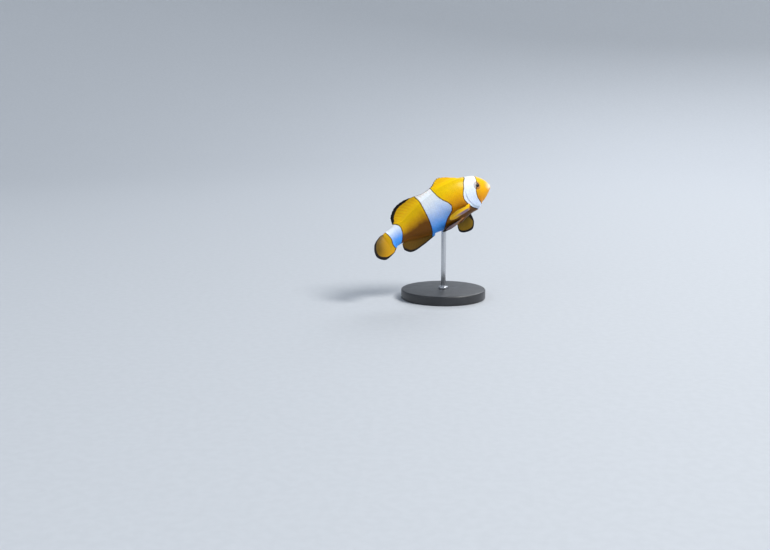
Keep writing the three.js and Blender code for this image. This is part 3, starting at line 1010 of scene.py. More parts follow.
# %% Markings
# Each edge's knots are (height, place along the fish), and a bar is its front edge and its rear one.
BARS = (
    (  # over the gill covers, its foot swept forwards
        smooth_through(
            (-0.18, 0.16), (-0.127, 0.172), (-0.09, 0.182), (-0.05, 0.189), (0, 0.177),
            (0.035, 0.155), (0.06, 0.13), (0.08, 0.112), (0.1, 0.1), (0.2, 0.07),
        ),
        smooth_through(
            (-0.18, 0.2), (-0.15, 0.215), (-0.13, 0.234), (-0.099, 0.263), (-0.071, 0.28), (-0.032, 0.294),
            (-0.002, 0.3), (0.029, 0.293), (0.081, 0.258), (0.119, 0.228), (0.144, 0.188), (0.2, 0.15),
        ),
    ),
    (  # down the middle, bulging forwards
        smooth_through(
            (-0.2, 0.575), (-0.165, 0.559), (-0.11, 0.526), (-0.073, 0.494), (-0.05, 0.461),
            (-0.024, 0.431), (0.009, 0.421), (0.045, 0.434), (0.085, 0.461), (0.139, 0.486),
            (0.2, 0.498), (0.3, 0.515),
        ),
        smooth_through(
            (-0.2, 0.68), (-0.134, 0.657), (-0.076, 0.644), (-0.021, 0.637), (0.103, 0.632),
            (0.156, 0.63), (0.21, 0.645), (0.3, 0.67),
        ),
    ),
    (  # round the tail stalk
        smooth_through(
            (-0.12, 0.99), (-0.067, 0.945), (-0.026, 0.915), (0.016, 0.895), (0.054, 0.888),
            (0.08, 0.9), (0.12, 0.96), (0.2, 1.1),
        ),
        smooth_through(
            (-0.13, 0.97), (-0.095, 0.99), (-0.07, 1.02), (-0.04, 1.028), (0.013, 1.015),
            (0.071, 1.02), (0.12, 1.035),
        ),
    ),
)
print("bars:", len(BARS))

# %% [markdown]
# A bar's edge slants, so the distance straight along the fish is too long. Multiplied by the cosine of
# the slant it is right near the edge, which is where the lines are drawn.

# %% Distance into a bar
NO_BAR = -99.0
BESIDE = 1e-3  # a small step in height
LEVEL_MOST = 1.3  # fins reach past the back, which is level 1


def in_bars(points):
    """Distance into the nearest white bar in mm, negative outside."""
    along, high = -points[..., 0] / LENGTH, points[..., 2] / LENGTH
    best = np.full(along.shape, NO_BAR)
    for front, rear in BARS:
        inside = []
        for curve, sign in ((front, 1), (rear, -1)):
            slope = (curve(high + BESIDE) - curve(high - BESIDE)) / (2 * BESIDE)
            inside.append(sign * (along - curve(high)) / np.sqrt(1 + slope**2))
        best = np.maximum(best, np.minimum(*inside) * LENGTH / MM)
    return best


def mark(piece, straight):
    """Writes the markings, and where on the straight fish each vertex was: the share of its length,
    and the level, which is -1 on the belly, 0 at mid height and 1 on the back."""
    along = -straight[:, 0] / LENGTH
    root = np.sqrt(np.clip(along, 0.002, None))
    up = straight[:, 2] - RISE(root)
    note(piece, "bar", in_bars(straight))
    note(piece, "along", along)
    note(piece, "level", np.clip(up / np.where(up > 0, BACK(root), BELLY(root)), -LEVEL_MOST, LEVEL_MOST))


print("the first bar starts", round(float(BARS[0][0](0)) * LENGTH / MM, 1), "mm behind the snout")

# %% [markdown]
# The paired fins have no bars, though they pass in front of one, and take the painted shade of the
# flank high up, not of the belly. Once all is marked, the skin is bent into its pose.

# %% Marking the skin
FIN_LEVEL = 0.7
FIN_MARKS_AT = 0.35  # of reach: from here on a paired fin has its own marks
# The pale patch over the slit is partly the lips' own cream and partly a painted highlight.
LIP_HIGH = 1.1  # mm over the slit, the middle of the pale lip patch
LIP_HALF = 2.5
LIP_BACK = (1.1, 4.6)  # mm behind the snout, where the patch fades
SLIT_HALF = 0.24
SLIT_BACK = 2.6

straight = corners(body)
mark(body, straight)
paired = noted(body, "part") == PART_PAIRED_FIN
own = ease(noted(body, "reach"), 0, FIN_MARKS_AT)
bar, level = noted(body, "bar"), noted(body, "level")
note(body, "bar", np.where(paired, bar - (bar + OUT_OF_REACH) * own, bar))
note(body, "level", np.where(paired, level + (FIN_LEVEL - level) * own, level))
over_mouth, along_mouth = from_mouth(-straight[:, 0] / MM, straight[:, 2] / MM)
# The pale lip patch, partly a painted highlight.
note(body, "lip_and_highlight", mound(over_mouth - LIP_HIGH, LIP_HALF) * (1 - ease(along_mouth, *LIP_BACK)))
# Painted shade in the mouth's slit.
note(body, "slit", mound(over_mouth, SLIT_HALF) * (1 - ease(along_mouth, SLIT_BACK, MOUTH_CORNER)))
place_corners(body, posed(straight))
bpy.ops.object.shade_smooth()
print("white share of the skin:", round(float((in_bars(straight) > 0).mean()), 2))

# %% [markdown]
# ## Scales
#
# One scale is modelled: a small grid pressed into a rounded plate and given a wall. It is
# then copied along rows that follow the body, each plate lying on the skin with its front under
# the plate ahead of it. Scales are small on the cheeks and the tail stalk and largest on the flanks,
# because the number of rows stays the same from throat to tail. The snout, lips and rims are bare.
# A bump in the material would be cheaper, but real plates also show at the outline and in the mesh.

# %% One scale
# The plate's own unit is half its length and half its width.
ROUND_END = 0.72
NARROW_FRONT = 0.25
CROWN = 0.05
PLATE_WALL = 0.1

deselect_all()
bpy.ops.mesh.primitive_grid_add(x_subdivisions=4, y_subdivisions=4, size=2)
scale = bpy.context.object
scale.name = "one_scale"
flat = corners(scale)
round_end = np.where(flat[:, 0] < 0, np.sqrt(np.clip(1 - ROUND_END * flat[:, 1] ** 2, 0, 1)), 1)
narrow = np.where(flat[:, 0] > 0, 1 - NARROW_FRONT * flat[:, 0] ** 2, 1)
flat[:, 2] = CROWN * (1 - flat[:, 1] ** 2)
flat[:, 0], flat[:, 1] = flat[:, 0] * round_end, flat[:, 1] * narrow
place_corners(scale, flat)
wall = scale.modifiers.new("wall", "SOLIDIFY")
wall.thickness = PLATE_WALL
wall.offset = -1
bpy.ops.object.modifier_apply(modifier=wall.name)
scale_corners = corners(scale)
scale_faces = np.array([list(face.vertices) for face in scale.data.polygons])
bpy.data.objects.remove(scale)
print("one scale:", 2 * len(scale_faces), "triangles")

# %% [markdown]
# The rows run from throat to back, and each column of scales is staggered against the last, as tiles
# are. Scales are left out round the eyes, on the snout and along the free edge of the gill cover.

# %% Rows of scales
ROWS_A_SIDE = 25
SCALES_START = 0.115
SCALES_END = 1.0
COLUMN_STEP = 0.62  # from column to column, in pitches
ROW_SHIFT = 0.25  # where the first row starts, in rows
SNOUT_BARE = 0.13  # share of the length without scales, more below the mouth
SNOUT_SLANT = 0.15
MOUTH_LEVEL = 0.02  # share of the length over the middle line
EYE_BARE = 3.5 * MM
COVER_BARE = (-0.4, 1.7)  # mm from the gill cover's edge
COVER_OPEN = 0.25  # from here on, that edge is free


def mean_half(root):
    """Half the mean height of the section there."""
    return (BACK(root) + BELLY(root)) / 2


def girth(root):
    """Half the way round the body, from belly to back."""
    return math.pi * np.sqrt((HALF(root) ** 2 + mean_half(root) ** 2) / 2)


def scale_places(side):
    """Root, angle and size of each scale on one side, in staggered columns."""
    found = []
    at = SCALES_START
    column = 0
    while at < SCALES_END:
        root = math.sqrt(at)
        pitch = girth(root) / ROWS_A_SIDE
        rows = (np.arange(ROWS_A_SIDE) + ROW_SHIFT + 0.5 * (column % 2)) / ROWS_A_SIDE
        height = math.pi * (rows - 0.5)
        angle = height if side > 0 else math.pi - height
        found.append(np.stack([0 * angle + root, angle, 0 * angle + pitch], -1))
        at += COLUMN_STEP * pitch / LENGTH
        column += 1
    found = np.concatenate(found)
    points = on_body(found[:, 0], found[:, 1])
    _, from_axis = from_eye(points)
    along, high = -points[:, 0] / LENGTH, points[:, 2] / LENGTH
    off_cover, open_edge = from_plate(along, high, GILL_COVER)
    bare_snout = along < SNOUT_BARE + SNOUT_SLANT * np.maximum(MOUTH_LEVEL - high, 0)
    on_edge = (off_cover > COVER_BARE[0]) & (off_cover < COVER_BARE[1]) & (open_edge > COVER_OPEN)
    return found[(from_axis > EYE_BARE) & ~bare_snout & ~on_edge]


print("scales on one side:", len(scale_places(1)))

# %% [markdown]
# Thousands of copies as objects of their own would be slow. So the copies are worked out as one array
# of vertices and become one mesh. Each scale keeps its own spot on the map and a shade of its own.

# %% Coat of scales
SCALE_HEIGHT = 0.13 * MM  # from its sunken front to its free edge
SCALE_SUNK = 0.35  # the share of that height by which it lies in the skin
SCALE_UNIT = 0.5 * MM  # the plate's own unit in height
SCALE_LONG = 0.82  # half the length and width of a plate, in pitches
SCALE_WIDE = 0.62
SPOT = 0.0015  # half a scale's width on the map
MAP_EDGE = 0.03  # left free round the map
TONE_SEED = 7


def scale_coat(name, places):
    """One joined mesh of scales at these places."""
    count, size = len(places), len(scale_corners)
    root, angle, pitch = (places[:, i][:, None] for i in range(3))
    back = -scale_corners[:, 0] * pitch * SCALE_LONG
    aside = scale_corners[:, 1] * pitch * SCALE_WIDE
    turning = np.hypot(HALF(root) * np.sin(angle), mean_half(root) * np.cos(angle))
    at = root**2 + back / LENGTH
    free = 0.5 - 0.5 * scale_corners[:, 0]
    lift = SCALE_HEIGHT * (free - SCALE_SUNK) + scale_corners[:, 2] * SCALE_UNIT
    straight = on_skin(np.sqrt(np.maximum(at, 0)), angle + aside / turning, lift)
    faces = (np.arange(count)[:, None, None] * size + scale_faces).reshape(-1, 4)
    mesh = bpy.data.meshes.new(name)
    mesh.from_pydata(posed(straight).reshape(-1, 3), [], faces.tolist())
    coat = bpy.data.objects.new(name, mesh)
    bpy.context.collection.objects.link(coat)
    mark(coat, straight.reshape(-1, 3))
    rng = np.random.default_rng(TONE_SEED)
    note(coat, "tone", np.repeat(rng.normal(0, 1, count), size))
    note(coat, "free", np.tile(free, count))
    lay = mesh.uv_layers.new(name="OFBake")
    upright = np.where(np.cos(angle) > 0, angle, math.pi - angle) / math.pi + 0.5
    spread = 1 - 2 * MAP_EDGE
    centre = MAP_EDGE + spread * np.concatenate([root**2 / TAIL_END, upright], 1)
    spots = centre[:, None] + scale_corners[:, :2] * SPOT
    lay.uv.foreach_set("vector", spots.reshape(-1, 2)[faces.ravel()].astype(np.float32).ravel())
    choose(coat)
    bpy.ops.object.shade_smooth_by_angle(angle=math.radians(40))
    print(f"{name}: {count} scales, {2 * len(faces)} triangles")
    return coat


COAT_SPLIT = math.sqrt(0.44)  # each side is parted here, to keep a mesh under 200,000 triangles
coats = []
for side_name, side in (("left", 1), ("right", -1)):
    places_here = scale_places(side)
    front = places_here[:, 0] < COAT_SPLIT
    coats.append(scale_coat(f"scales_{side_name}_front", places_here[front]))
    coats.append(scale_coat(f"scales_{side_name}_rear", places_here[~front]))

# %% [markdown]
# ## Eyes
#
# Each eyeball is a sphere squashed to the CAD eye's depth, with the clear front bulging a little. The
# pupil, the thin gold ring round it and the iris are painted by the distance from the eye's axis,
# and a clear coat gives the wet shine of the real thing. A separate glass front would be darker,
# because little light finds its way through so small a lens.

# %% Eyeballs
CORNEA = 0.16 * MM  # how far the clear front bulges
CORNEA_EDGE = (0.6 * MM, 2.3 * MM)  # from the axis, where the bulge fades


def eyeball(name, side):
    """One eyeball, with the numbers that its colours need."""
    deselect_all()
    bpy.ops.mesh.primitive_uv_sphere_add(segments=64, ring_count=48, radius=1)
    ball = bpy.context.object
    ball.name = name
    sphere = corners(ball)
    away = np.hypot(sphere[:, 0], sphere[:, 1]) * EYE_RADIUS
    cornea = CORNEA * (1 - ease(away, *CORNEA_EDGE)) * (sphere[:, 2] > 0)
    put = sphere * [EYE_RADIUS, EYE_RADIUS, EYE_HALF_DEPTH]
    put[:, 2] += cornea - EYE_SUNK
    on_fish = in_eye_frame(put, side)
    note(ball, "from_axis", away / MM)
    note(ball, "spin", np.arctan2(sphere[:, 1], sphere[:, 0]))
    note(ball, "bar", in_bars(on_fish))
    place_corners(ball, posed(on_fish))
    close_up(ball)
    bpy.ops.object.shade_smooth()
    return ball


eyes = {"left": eyeball("eyeball_left", 1), "right": eyeball("eyeball_right", -1)}
print("eyes:", round(2 * EYE_RADIUS / MM, 1), "mm across")

# %% [markdown]
# ## The stand
#
# A turned base with a rounded edge and a shallow ring, a slim rod, and a collar where it is screwed
# in. The base starts as a cylinder. Its top face is inset and pushed down for the ring, and a Bevel
# modifier rounds the edges. Spinning a drawn outline would do as well, but each step shows here.

# %% Stand
BASE_RADIUS = 0.027
BASE_HEIGHT = 0.006
ROD_RADIUS = 0.0015
COLLAR_RADIUS = 2 * ROD_RADIUS
COLLAR_HEIGHT = 0.0016
RING_IN = 0.0035  # from the rim to the ring
RING_WIDE = 0.0006
RING_DEEP = 0.0003


def bevelled(piece, width, segments):
    """Rounds its sharp edges and shades the rest smooth."""
    choose(piece)
    soften = piece.modifiers.new("soften", "BEVEL")
    soften.width = width
    soften.segments = segments
    soften.limit_method = "ANGLE"
    bpy.ops.object.modifier_apply(modifier=soften.name)
    bpy.ops.object.shade_smooth_by_angle(angle=math.radians(35))


def turned(name, radius, low, high, sides):
    """An upright cylinder whose place is in its mesh."""
    deselect_all()
    bpy.ops.mesh.primitive_cylinder_add(
        vertices=sides, radius=radius, depth=high - low, location=(0, 0, (low + high) / 2)
    )
    piece = bpy.context.object
    piece.name = name
    bpy.ops.object.transform_apply(location=True, rotation=True, scale=True)
    return piece


base = turned("stand_base_turned", BASE_RADIUS, 0, BASE_HEIGHT, 144)
top_face = max(base.data.polygons, key=lambda face: face.center.z)
for face in base.data.polygons:
    face.select = face == top_face
bpy.ops.object.mode_set(mode="EDIT")
bpy.ops.mesh.select_mode(type="FACE")
bpy.ops.mesh.inset(thickness=RING_IN)
bpy.ops.mesh.inset(thickness=RING_WIDE / 2)
bpy.ops.transform.translate(value=(0, 0, -RING_DEEP))
bpy.ops.mesh.inset(thickness=RING_WIDE / 2)
bpy.ops.transform.translate(value=(0, 0, RING_DEEP))
bpy.ops.object.mode_set(mode="OBJECT")
bevelled(base, 0.0008, 5)

rod = turned("stand_rod_round", ROD_RADIUS, BASE_HEIGHT - 0.0005, HOLD_HEIGHT + 0.0004, 48)
bevelled(rod, 0.0001, 2)
collar = turned("stand_collar", COLLAR_RADIUS, BASE_HEIGHT - 0.0002, BASE_HEIGHT + COLLAR_HEIGHT, 64)
bevelled(collar, 0.0004, 3)
print("stand: rod", 2 * ROD_RADIUS / MM, "mm on a base", 2 * BASE_RADIUS / MM, "mm across")

# %% [markdown]
# ## Wiring materials
#
# A material is a graph of nodes. Wiring it by hand takes many lines, so two small classes help. A
# Wire is one output of a node, and sums and products of wires add the Math nodes.

# %% Wires
class Wire:
    """One output socket, for sums and products in plain Python."""

    def __init__(self, look, socket):
        self.look = look
        self.socket = socket

    def _math(self, operation, first, second):
        return self.look.node("Math", {"operation": operation}, {0: first, 1: second})

    def __add__(self, other):
        return self._math("ADD", self, other)

    def __sub__(self, other):
        return self._math("SUBTRACT", self, other)

    def __rsub__(self, other):
        return self._math("SUBTRACT", other, self)

    def __mul__(self, other):
        return self._math("MULTIPLY", self, other)

    __rmul__ = __mul__


print("wires can be added, subtracted and multiplied")

# %% [markdown]
# A Look is the material being made. Its node method adds any node, fills or links its sockets and
# gives back one output as a wire, and the rest are short names for the nodes used most.

# %% Looks
class Look:
    """A material and the nodes in it."""

    def __init__(self, name):
        self.material = bpy.data.materials.new(name)
        self.material.use_nodes = True
        self.tree = self.material.node_tree
        self.tree.nodes.clear()

    def node(self, kind, settings=None, sockets=None, out=0):
        """Adds a node, sets it up, fills or links its sockets and returns one of its outputs."""
        made = self.tree.nodes.new("ShaderNode" + kind)
        for name, value in (settings or {}).items():
            setattr(made, name, value)
        for name, value in (sockets or {}).items():
            socket = self._socket(made.inputs, name)
            if isinstance(value, Wire):
                self.tree.links.new(value.socket, socket)
            else:
                socket.default_value = value
        return Wire(self, self._socket(made.outputs, out))

    @staticmethod
    def _socket(sockets, name):
        if isinstance(name, int):
            return sockets[name]
        return next(s for s in sockets if name in (s.identifier, s.name) and s.enabled)

    def number(self, name):
        """A number noted on the vertices."""
        return self.node("Attribute", {"attribute_name": name}, out="Fac")

    def ramp(self, value, low, high, start=0.0, end=1.0):
        """start below low, end above high and smooth between."""
        return self.node(
            "MapRange",
            {"interpolation_type": "SMOOTHSTEP"},
            {"Value": value, "From Min": low, "From Max": high, "To Min": start, "To Max": end},
        )

    def mix(self, amount, first, second, blend="MIX"):
        """Mixes two colours."""
        sockets = {"Factor_Float": amount, "A_Color": first, "B_Color": second}
        settings = {"data_type": "RGBA", "blend_type": blend}
        return self.node("Mix", settings, sockets, out="Result_Color")

    def noise(self, where, size, detail=2.0, roughness=0.5):
        """Noise with lumps about `size` metres across, around 0.5."""
        sockets = {"Vector": where, "Scale": 1 / size, "Detail": detail, "Roughness": roughness}
        return self.node("TexNoise", {}, sockets, out="Fac")

    def place(self):
        """Places on the piece, in metres."""
        return self.node("TexCoord", {}, {}, out="Object")

    def bump(self, height, strength, depth):
        """Relief `depth` metres deep that only bends the light."""
        sockets = {"Strength": strength, "Distance": depth, "Height": height}
        return self.node("Bump", {}, sockets, out="Normal")

    def finish(self, constants, **links):
        """The shader: `constants` are set on its own sockets, and links vary over the surface."""
        sockets = dict(constants)
        sockets.update({name.replace("_", " "): wire for name, wire in links.items()})
        shader = self.node("BsdfPrincipled", {}, sockets, out="BSDF")
        output = self.tree.nodes.new("ShaderNodeOutputMaterial")
        self.tree.links.new(shader.socket, output.inputs["Surface"])
        return self.material


def paint(srgb):
    """A colour picked as on a screen, 0 to 255, as the linear one that a shader needs."""
    parts = [c / 255 for c in srgb]
    return tuple(p / 12.92 if p <= 0.04045 else ((p + 0.055) / 1.055) ** 2.4 for p in parts) + (1,)


def wear(piece, material):
    """Makes a material the piece's only one."""
    piece.data.materials.clear()
    piece.data.materials.append(material)


print("white paint is", [round(c, 2) for c in paint((236, 240, 247))[:3]])

# %% [markdown]
# ## Skin and scales
#
# Skin and scales share one recipe. Golden orange deepens to brown towards the belly and the rear, which
# is mostly painted shade, the bars are a cool white with painted blue shade below, and black lines run
# along the bars and round the fins. Fine noise keeps the orange alive and breaks the edges of the
# markings, and a thin wet coat lies over all of it.

# %% Fish palette
GOLD = paint((254, 210, 3))
AMBER = paint((240, 156, 3))
ORANGE = paint((255, 150, 0))
OLIVE = paint((204, 158, 3))
# Umber, dusk, shadow, ash and the bars' shade paint shade; umber also speckles the flesh and tones the
# scales.
UMBER = paint((108, 64, 3))
DUSK = paint((80, 66, 4))
SHADOW = paint((62, 40, 18))
ASH = paint((104, 98, 140))
BAR_WHITE = paint((240, 245, 250))
BAR_SHADE = paint((74, 154, 242))
INK = paint((10, 9, 12))
# Lip cream, partly a painted highlight.
LIP_CREAM_AND_HIGHLIGHT = paint((252, 232, 204))
# Painted shade for the mouth's slit.
SLIT_SHADE = paint((70, 30, 14))
WET = {
    "Coat Weight": 0.08,
    "Coat Roughness": 0.2,
    "Specular IOR Level": 0.13,
    "Subsurface Weight": 0.08,
    "Subsurface Radius": (1.0, 0.45, 0.15),
    "Subsurface Scale": 0.6 * MM,
}
print("gold is", [round(c, 2) for c in GOLD[:3]])

# %% [markdown]
# "along" is 0 at the snout and 1 at the root of the tail fin, and "level" runs from -1 on the belly to
# 1 on the back. A ramp of either says where a colour comes in, and products of ramps where it is kept
# to a patch. A little noise is added to the level, so that no colour ends in a straight line.

# %% Flesh
def flesh_colour(look, where, along, level, uneven):
    """Gold above and amber below, browned on the belly and turning olive towards the tail; the browning is
    painted shade, and the amber and olive partly so.
    """
    rear = look.ramp(along, 0.5, 0.72)
    tail = look.ramp(along, 0.97, 1.02)

    # low is 1 on the belly, where it paints shade. It reaches highest behind the middle bar and ends lower
    # at the tail.
    raised = uneven - look.ramp(along, 0.6, 0.68, 0.18, 0.3) + look.ramp(along, 0.66, 0.92, 0.0, 0.35)
    low = look.ramp(raised, -0.75, 0.6, 1.0, 0.0) * look.ramp(along, 0.08, 0.2, 0.5, 1.0)
    low = low + look.ramp(along, 0.08, 0.24, 0.3, 0.0)
    # How much painted umber shade darkens the low flesh, more towards the rear, where less light falls.
    brown = look.ramp(along, 0.15, 0.38, 0.2, 0.8) * low + 0.6 * rear

    # warm reddens the sides behind the head, and under is the deep shade of the breast.
    warm = look.ramp(level, 0.1, 0.95, 0.32, 0.0) * look.ramp(along, 0.2, 0.3) * (1 - tail)
    sunk = level - look.ramp(along, 0.25, 0.36, 0.3, 0.0)
    under = look.ramp(sunk, -0.9, -0.4, 1.0, 0.0) * look.ramp(along, 0.18, 0.24)
    under = under * look.ramp(along, 0.42, 0.56, 1.0, 0.0)

    # Amber below is partly the flank's own deeper orange and partly painted shade.
    flesh = look.mix(warm, look.mix(low, GOLD, AMBER), ORANGE)
    # Olive at the rear is partly painted shade, as less light reaches it, and partly a duller gold of its
    # own.
    flesh = look.mix(0.5 * rear + 0.5 * tail, flesh, OLIVE)
    # Umber on the belly is painted shade.
    flesh = look.mix(low * brown * (1 - tail), flesh, UMBER)
    flesh = look.mix(under * 0.85, flesh, SHADOW)
    # Painted shade on the fins that lie out of the light.
    flesh = look.mix(look.number("dull"), flesh, DUSK)
    # Painted bluish shade on the belly fins and the near breast fin's root.
    flesh = look.mix(look.number("grey"), flesh, ASH)
    speckle = look.noise(where, 0.5 * MM, 3.0, 0.6)
    return look.mix(0.16 * speckle, flesh, UMBER)


print("the deepest shade has", round(100 * SHADOW[0] / GOLD[0]), "% of the gold's red")

# %% [markdown]
# The bars are white above and darken to blue below, which is painted shade. Noise frays their edge, and
# the black line beside it is a ramp up and a ramp down on the same distance, so that it follows each fray.

# %% Bars over flesh
FRAY = 0.7 * MM  # size of the noise along the bars


def fish_colour(look, where):
    """The colours that skin and scales share."""
    along, level = look.number("along"), look.number("level")
    uneven = level + 0.4 * (look.noise(where, 5 * MM, 4.0, 0.6) - 0.5)
    flesh = flesh_colour(look, where, along, level, uneven)

    # Painted shade turns each bar blue from below; it reaches higher on the tail stalk and is a quarter as
    # strong on the first bar.
    sinking = uneven - look.ramp(along, 0.8, 0.95, 0.0, 0.25)
    shaded = look.ramp(sinking, -0.72, 0.9, 1.0, 0.0) * look.ramp(along, 0.25, 0.45, 0.25, 1.0)
    white = look.mix(shaded, BAR_WHITE, BAR_SHADE)

    inside = look.number("bar") + 0.5 * look.noise(where, FRAY, 2.0) - 0.25
    colour = look.mix(look.ramp(inside, -0.12, 0.12), flesh, white)
    line = look.ramp(inside, -0.62, -0.42) * look.ramp(inside, -0.12, 0.1, 1.0, 0.0)
    return look.mix(line * 0.9, colour, INK)


print("bars fray over", FRAY / MM, "mm")

# %% [markdown]
# The bare skin adds what the scales lack: the black edging and rays of the fins, pale lips with a
# painted highlight, and painted shade in the slit between them. Its bump has fine pores and wider folds.

# %% Bare skin
def skin_look():
    look = Look("fish_skin")
    where = look.place()
    ray, reach = look.number("ray"), look.number("reach")
    edge = look.number("edge") + 0.7 * look.noise(where, 1.2 * MM, 3.0) - 0.35
    colour = look.mix(look.ramp(edge, -0.25, 0.35, 1.0, 0.0), fish_colour(look, where), INK)
    colour = look.mix(ray * reach * 0.3, colour, AMBER, "MULTIPLY")
    # Pale lips with a painted highlight over them.
    colour = look.mix(look.number("lip_and_highlight") * 0.85, colour, LIP_CREAM_AND_HIGHLIGHT)
    # Painted shade darkens the slit between the lips.
    colour = look.mix(look.number("slit") * 0.85, colour, SLIT_SHADE)
    pores = look.noise(where, 0.25 * MM, 3.0, 0.6)
    folds = look.noise(where, 1.5 * MM, 2.0)
    bump = look.bump(pores * 0.5 + folds, 0.25, 0.08 * MM)
    rough = look.ramp(folds, 0.3, 0.7, 0.34, 0.46) + 0.2 * reach
    return look.finish(WET, Base_Color=colour, Roughness=rough, Normal=bump)


wear(body, skin_look())
print("skin painted")

# %% [markdown]
# No two scales are quite alike, so each is darkened by its own tone, and a little more at its free
# edge, where the next scale's shade falls.

# %% Scales
def scale_look():
    look = Look("fish_scales")
    where = look.place()
    tone, free = look.number("tone"), look.number("free")
    colour = fish_colour(look, where)
    colour = look.mix(look.ramp(tone, -3, 3, 0.0, 0.12), colour, UMBER, "MULTIPLY")
    colour = look.mix(look.ramp(free, 0.82, 1.0, 0.0, 0.22), colour, UMBER, "MULTIPLY")
    grain = look.noise(where, 0.12 * MM, 2.0)
    bump = look.bump(grain, 0.2, 0.03 * MM)
    rough = look.ramp(grain, 0.3, 0.7, 0.3, 0.42)
    return look.finish(WET, Base_Color=colour, Roughness=rough, Normal=bump)


scales_material = scale_look()
for coat in coats:
    wear(coat, scales_material)
print("scales painted on", len(coats), "meshes")

# %% [markdown]
# ## Eye colours
#
# From the middle out: a black pupil, a thin bright ring, an orange-brown iris streaked like spokes,
# and a dark outer line. The first bar and its black edge run on over the rear of the iris.

# %% Eye colours
PUPIL = 1.3  # mm from the axis
IRIS_END = 2.45
PUPIL_BLACK = paint((6, 7, 12))
IRIS_BROWN, IRIS_ORANGE = paint((150, 84, 22)), paint((222, 150, 40))
IRIS_GREY, IRIS_WHITE = paint((190, 186, 190)), paint((222, 226, 232))
IRIS_RING = paint((236, 172, 62))
IRIS_LINE = paint((34, 22, 18))
IRIS_EDGE = paint((60, 40, 26))


def eye_look():
    look = Look("fish_eye")
    away, spin, bar = look.number("from_axis"), look.number("spin"), look.number("bar")
    spokes = look.node("CombineXYZ", {}, {0: spin * 9, 1: away * 0.6, 2: 0.0}, out="Vector")
    streaks = look.ramp(look.noise(spokes, 1.0, 3.0), 0.35, 0.65)
    iris = look.mix(streaks, IRIS_BROWN, IRIS_ORANGE)
    iris = look.mix(look.ramp(away, PUPIL + 0.14, PUPIL + 0.26, 1.0, 0.0), iris, IRIS_RING)
    pale = look.mix(streaks, IRIS_GREY, IRIS_WHITE)
    iris = look.mix(look.ramp(bar, -0.25, 0.35, 0.0, 0.85), iris, pale)
    line = look.ramp(bar, -1.0, -0.6) * look.ramp(bar, -0.2, 0.15, 1.0, 0.0)
    iris = look.mix(line * 0.85, iris, IRIS_LINE)
    outer = look.ramp(away, IRIS_END - 0.15, IRIS_END + 0.1)
    iris = look.mix(outer * 0.7, iris, IRIS_EDGE)
    colour = look.mix(look.ramp(away, PUPIL, PUPIL + 0.1, 1.0, 0.0), iris, PUPIL_BLACK)
    constants = {
        "Roughness": 0.3, "Specular IOR Level": 0.2,
        "Coat Weight": 1.0, "Coat Roughness": 0.02, "Coat IOR": 1.34,
    }
    return look.finish(constants, Base_Color=colour)


eye_material = eye_look()
for ball in eyes.values():
    wear(ball, eye_material)
print("pupil", 2 * PUPIL, "mm across")

# %% [markdown]
# ## Stand finishes
#
# The rod and collar are brushed steel: noise squeezed along the rod's length leaves fine rings as a
# lathe does. The base is satin black paint with a faint orange-peel bump, a little cloudy in tone and
# gloss.

# %% Stand finishes
STEEL_DARK, STEEL_PALE = paint((176, 178, 182)), paint((214, 216, 220))
PAINT_DARK, PAINT_PALE = paint((30, 31, 34)), paint((40, 41, 45))


def steel_look():
    look = Look("brushed_steel")
    squeezed = look.node("Mapping", {}, {"Vector": look.place(), "Scale": (1, 1, 30)}, out="Vector")
    rings = look.noise(squeezed, 1.5 * MM, 4.0, 0.7)
    colour = look.mix(rings, STEEL_DARK, STEEL_PALE)
    bump = look.bump(rings, 0.3, 0.02 * MM)
    rough = look.ramp(rings, 0.3, 0.7, 0.2, 0.38)
    return look.finish({"Metallic": 1.0}, Base_Color=colour, Roughness=rough, Normal=bump)


def satin_look():
    look = Look("satin_black")
    place = look.place()
    cloud = look.noise(place, 12 * MM, 3.0)
    colour = look.mix(look.ramp(cloud, 0.3, 0.7), PAINT_DARK, PAINT_PALE)
    bump = look.bump(look.noise(place, 0.8 * MM, 2.0), 0.25, 0.03 * MM)
    rough = look.ramp(cloud, 0.3, 0.7, 0.32, 0.44)
    constants = {"Coat Weight": 0.2, "Coat Roughness": 0.2}
    return look.finish(constants, Base_Color=colour, Roughness=rough, Normal=bump)


steel = steel_look()
wear(rod, steel)
wear(collar, steel)
wear(base, satin_look())
print("stand painted")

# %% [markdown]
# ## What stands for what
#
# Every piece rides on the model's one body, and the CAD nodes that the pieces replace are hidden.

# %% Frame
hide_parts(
    "head", "gill_cover_left", "gill_cover_right", "trunk_front", "trunk_rear", "tail_stalk",
    "dorsal_fin_spines", "dorsal_fin_rays", "anal_fin", "tail_fin", "pectoral_fin_right",
    "pectoral_fin_left", "pelvic_fin_right", "pelvic_fin_left",
)
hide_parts("eye_left")
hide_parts("eye_right")
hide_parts("stand_base")
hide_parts("stand_rod")
for piece, slot in (
    (body, "skin"), *((coat, "skin") for coat in coats), *((ball, "eye") for ball in eyes.values()),
    (rod, "rod"), (collar, "rod"), (base, "base"),
):
    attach(piece, "root")
print("all pieces ride on the root")

# %% [markdown]
# ## Studio
#
# A plain pale floor that curves up into a wall far away all round, so that no horizon shows from any
# side. A large soft lamp hangs high up on the head's side, a little towards the camera, and two weak
# ones fill the shadows.

# %% Floor
FLOOR_RADIUS = 0.9
WALL_HEIGHT = 0.4
CURVE_RADIUS = 1.6
CURVE_STEPS = 16
FLOOR_GREYS = paint((190, 194, 200)), paint((193, 197, 203))

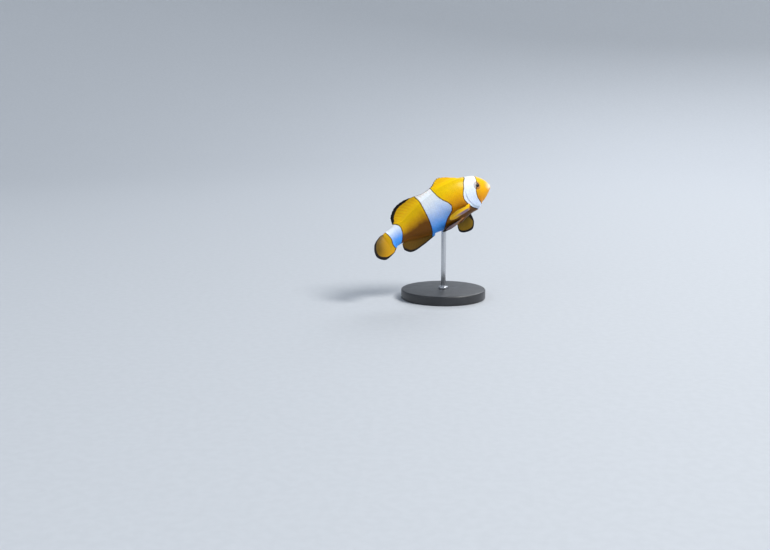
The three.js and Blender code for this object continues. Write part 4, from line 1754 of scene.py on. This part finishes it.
deselect_all()
bpy.ops.mesh.primitive_circle_add(vertices=96, radius=FLOOR_RADIUS, fill_type="NGON")
floor = bpy.context.object
floor.name = "floor"
bpy.ops.object.mode_set(mode="EDIT")
bpy.ops.mesh.select_all(action="SELECT")
bpy.ops.mesh.select_mode(type="EDGE")
bpy.ops.mesh.region_to_loop()
for i in range(CURVE_STEPS):
    angles = [math.pi / 2 * k / CURVE_STEPS for k in (i, i + 1)]
    before, after = (CURVE_RADIUS * math.sin(angle) for angle in angles)
    drop, rise = (CURVE_RADIUS * (1 - math.cos(angle)) for angle in angles)
    grow = (FLOOR_RADIUS + after) / (FLOOR_RADIUS + before)
    bpy.ops.mesh.extrude_region_move(TRANSFORM_OT_translate={"value": (0, 0, rise - drop)})
    bpy.ops.transform.resize(value=(grow, grow, 1))
bpy.ops.mesh.extrude_region_move(TRANSFORM_OT_translate={"value": (0, 0, WALL_HEIGHT)})
bpy.ops.object.mode_set(mode="OBJECT")
bpy.ops.object.shade_smooth_by_angle(angle=math.radians(40))

look = Look("studio_floor")
grain = look.noise(look.place(), 4 * MM, 3.0)
tint = look.mix(look.ramp(grain, 0.3, 0.7), *FLOOR_GREYS)
wear(floor, look.finish({"Roughness": 0.7}, Base_Color=tint))
print("floor and wall:", len(floor.data.polygons), "faces")

# %% [markdown]
# A lamp points down its own -Z axis, so its turn is worked out from its place and the middle of the
# fish. Wide lamps give soft shadows, and the sky's faint blue fills them.

# %% Lights
AIM = np.array([0, 0, 0.055])
SKY = (0.72, 0.85, 1, 1)
SKY_STRENGTH = 0.4


def soft_lamp(name, place, size, watts, tint):
    """A round lamp turned towards the fish."""
    deselect_all()
    bpy.ops.object.light_add(type="AREA", location=place)
    lamp = bpy.context.object
    lamp.name = name
    lamp.data.shape = "DISK"
    lamp.data.size = size
    lamp.data.energy = watts
    lamp.data.color = tint
    aim = AIM - np.array(place)
    level = math.hypot(aim[0], aim[1])
    lamp.rotation_euler = (math.atan2(level, -aim[2]), 0, math.atan2(aim[0], -aim[1]) + math.pi)


soft_lamp("lamp_key", (1.35, -0.6, 1.75), 1.0, 49, (1, 0.98, 0.94))
soft_lamp("lamp_side", (-1.0, -0.9, 0.7), 0.8, 3, (0.9, 0.95, 1))
soft_lamp("lamp_behind", (0.4, 1.1, 0.9), 0.8, 6, (0.95, 0.97, 1))

world = bpy.data.worlds.new("studio")
bpy.context.scene.world = world
world.use_nodes = True
background = world.node_tree.nodes["Background"]
background.inputs["Color"].default_value = SKY
background.inputs["Strength"].default_value = SKY_STRENGTH
bpy.context.scene.view_settings.view_transform = "Standard"
print("three lamps and a pale sky")
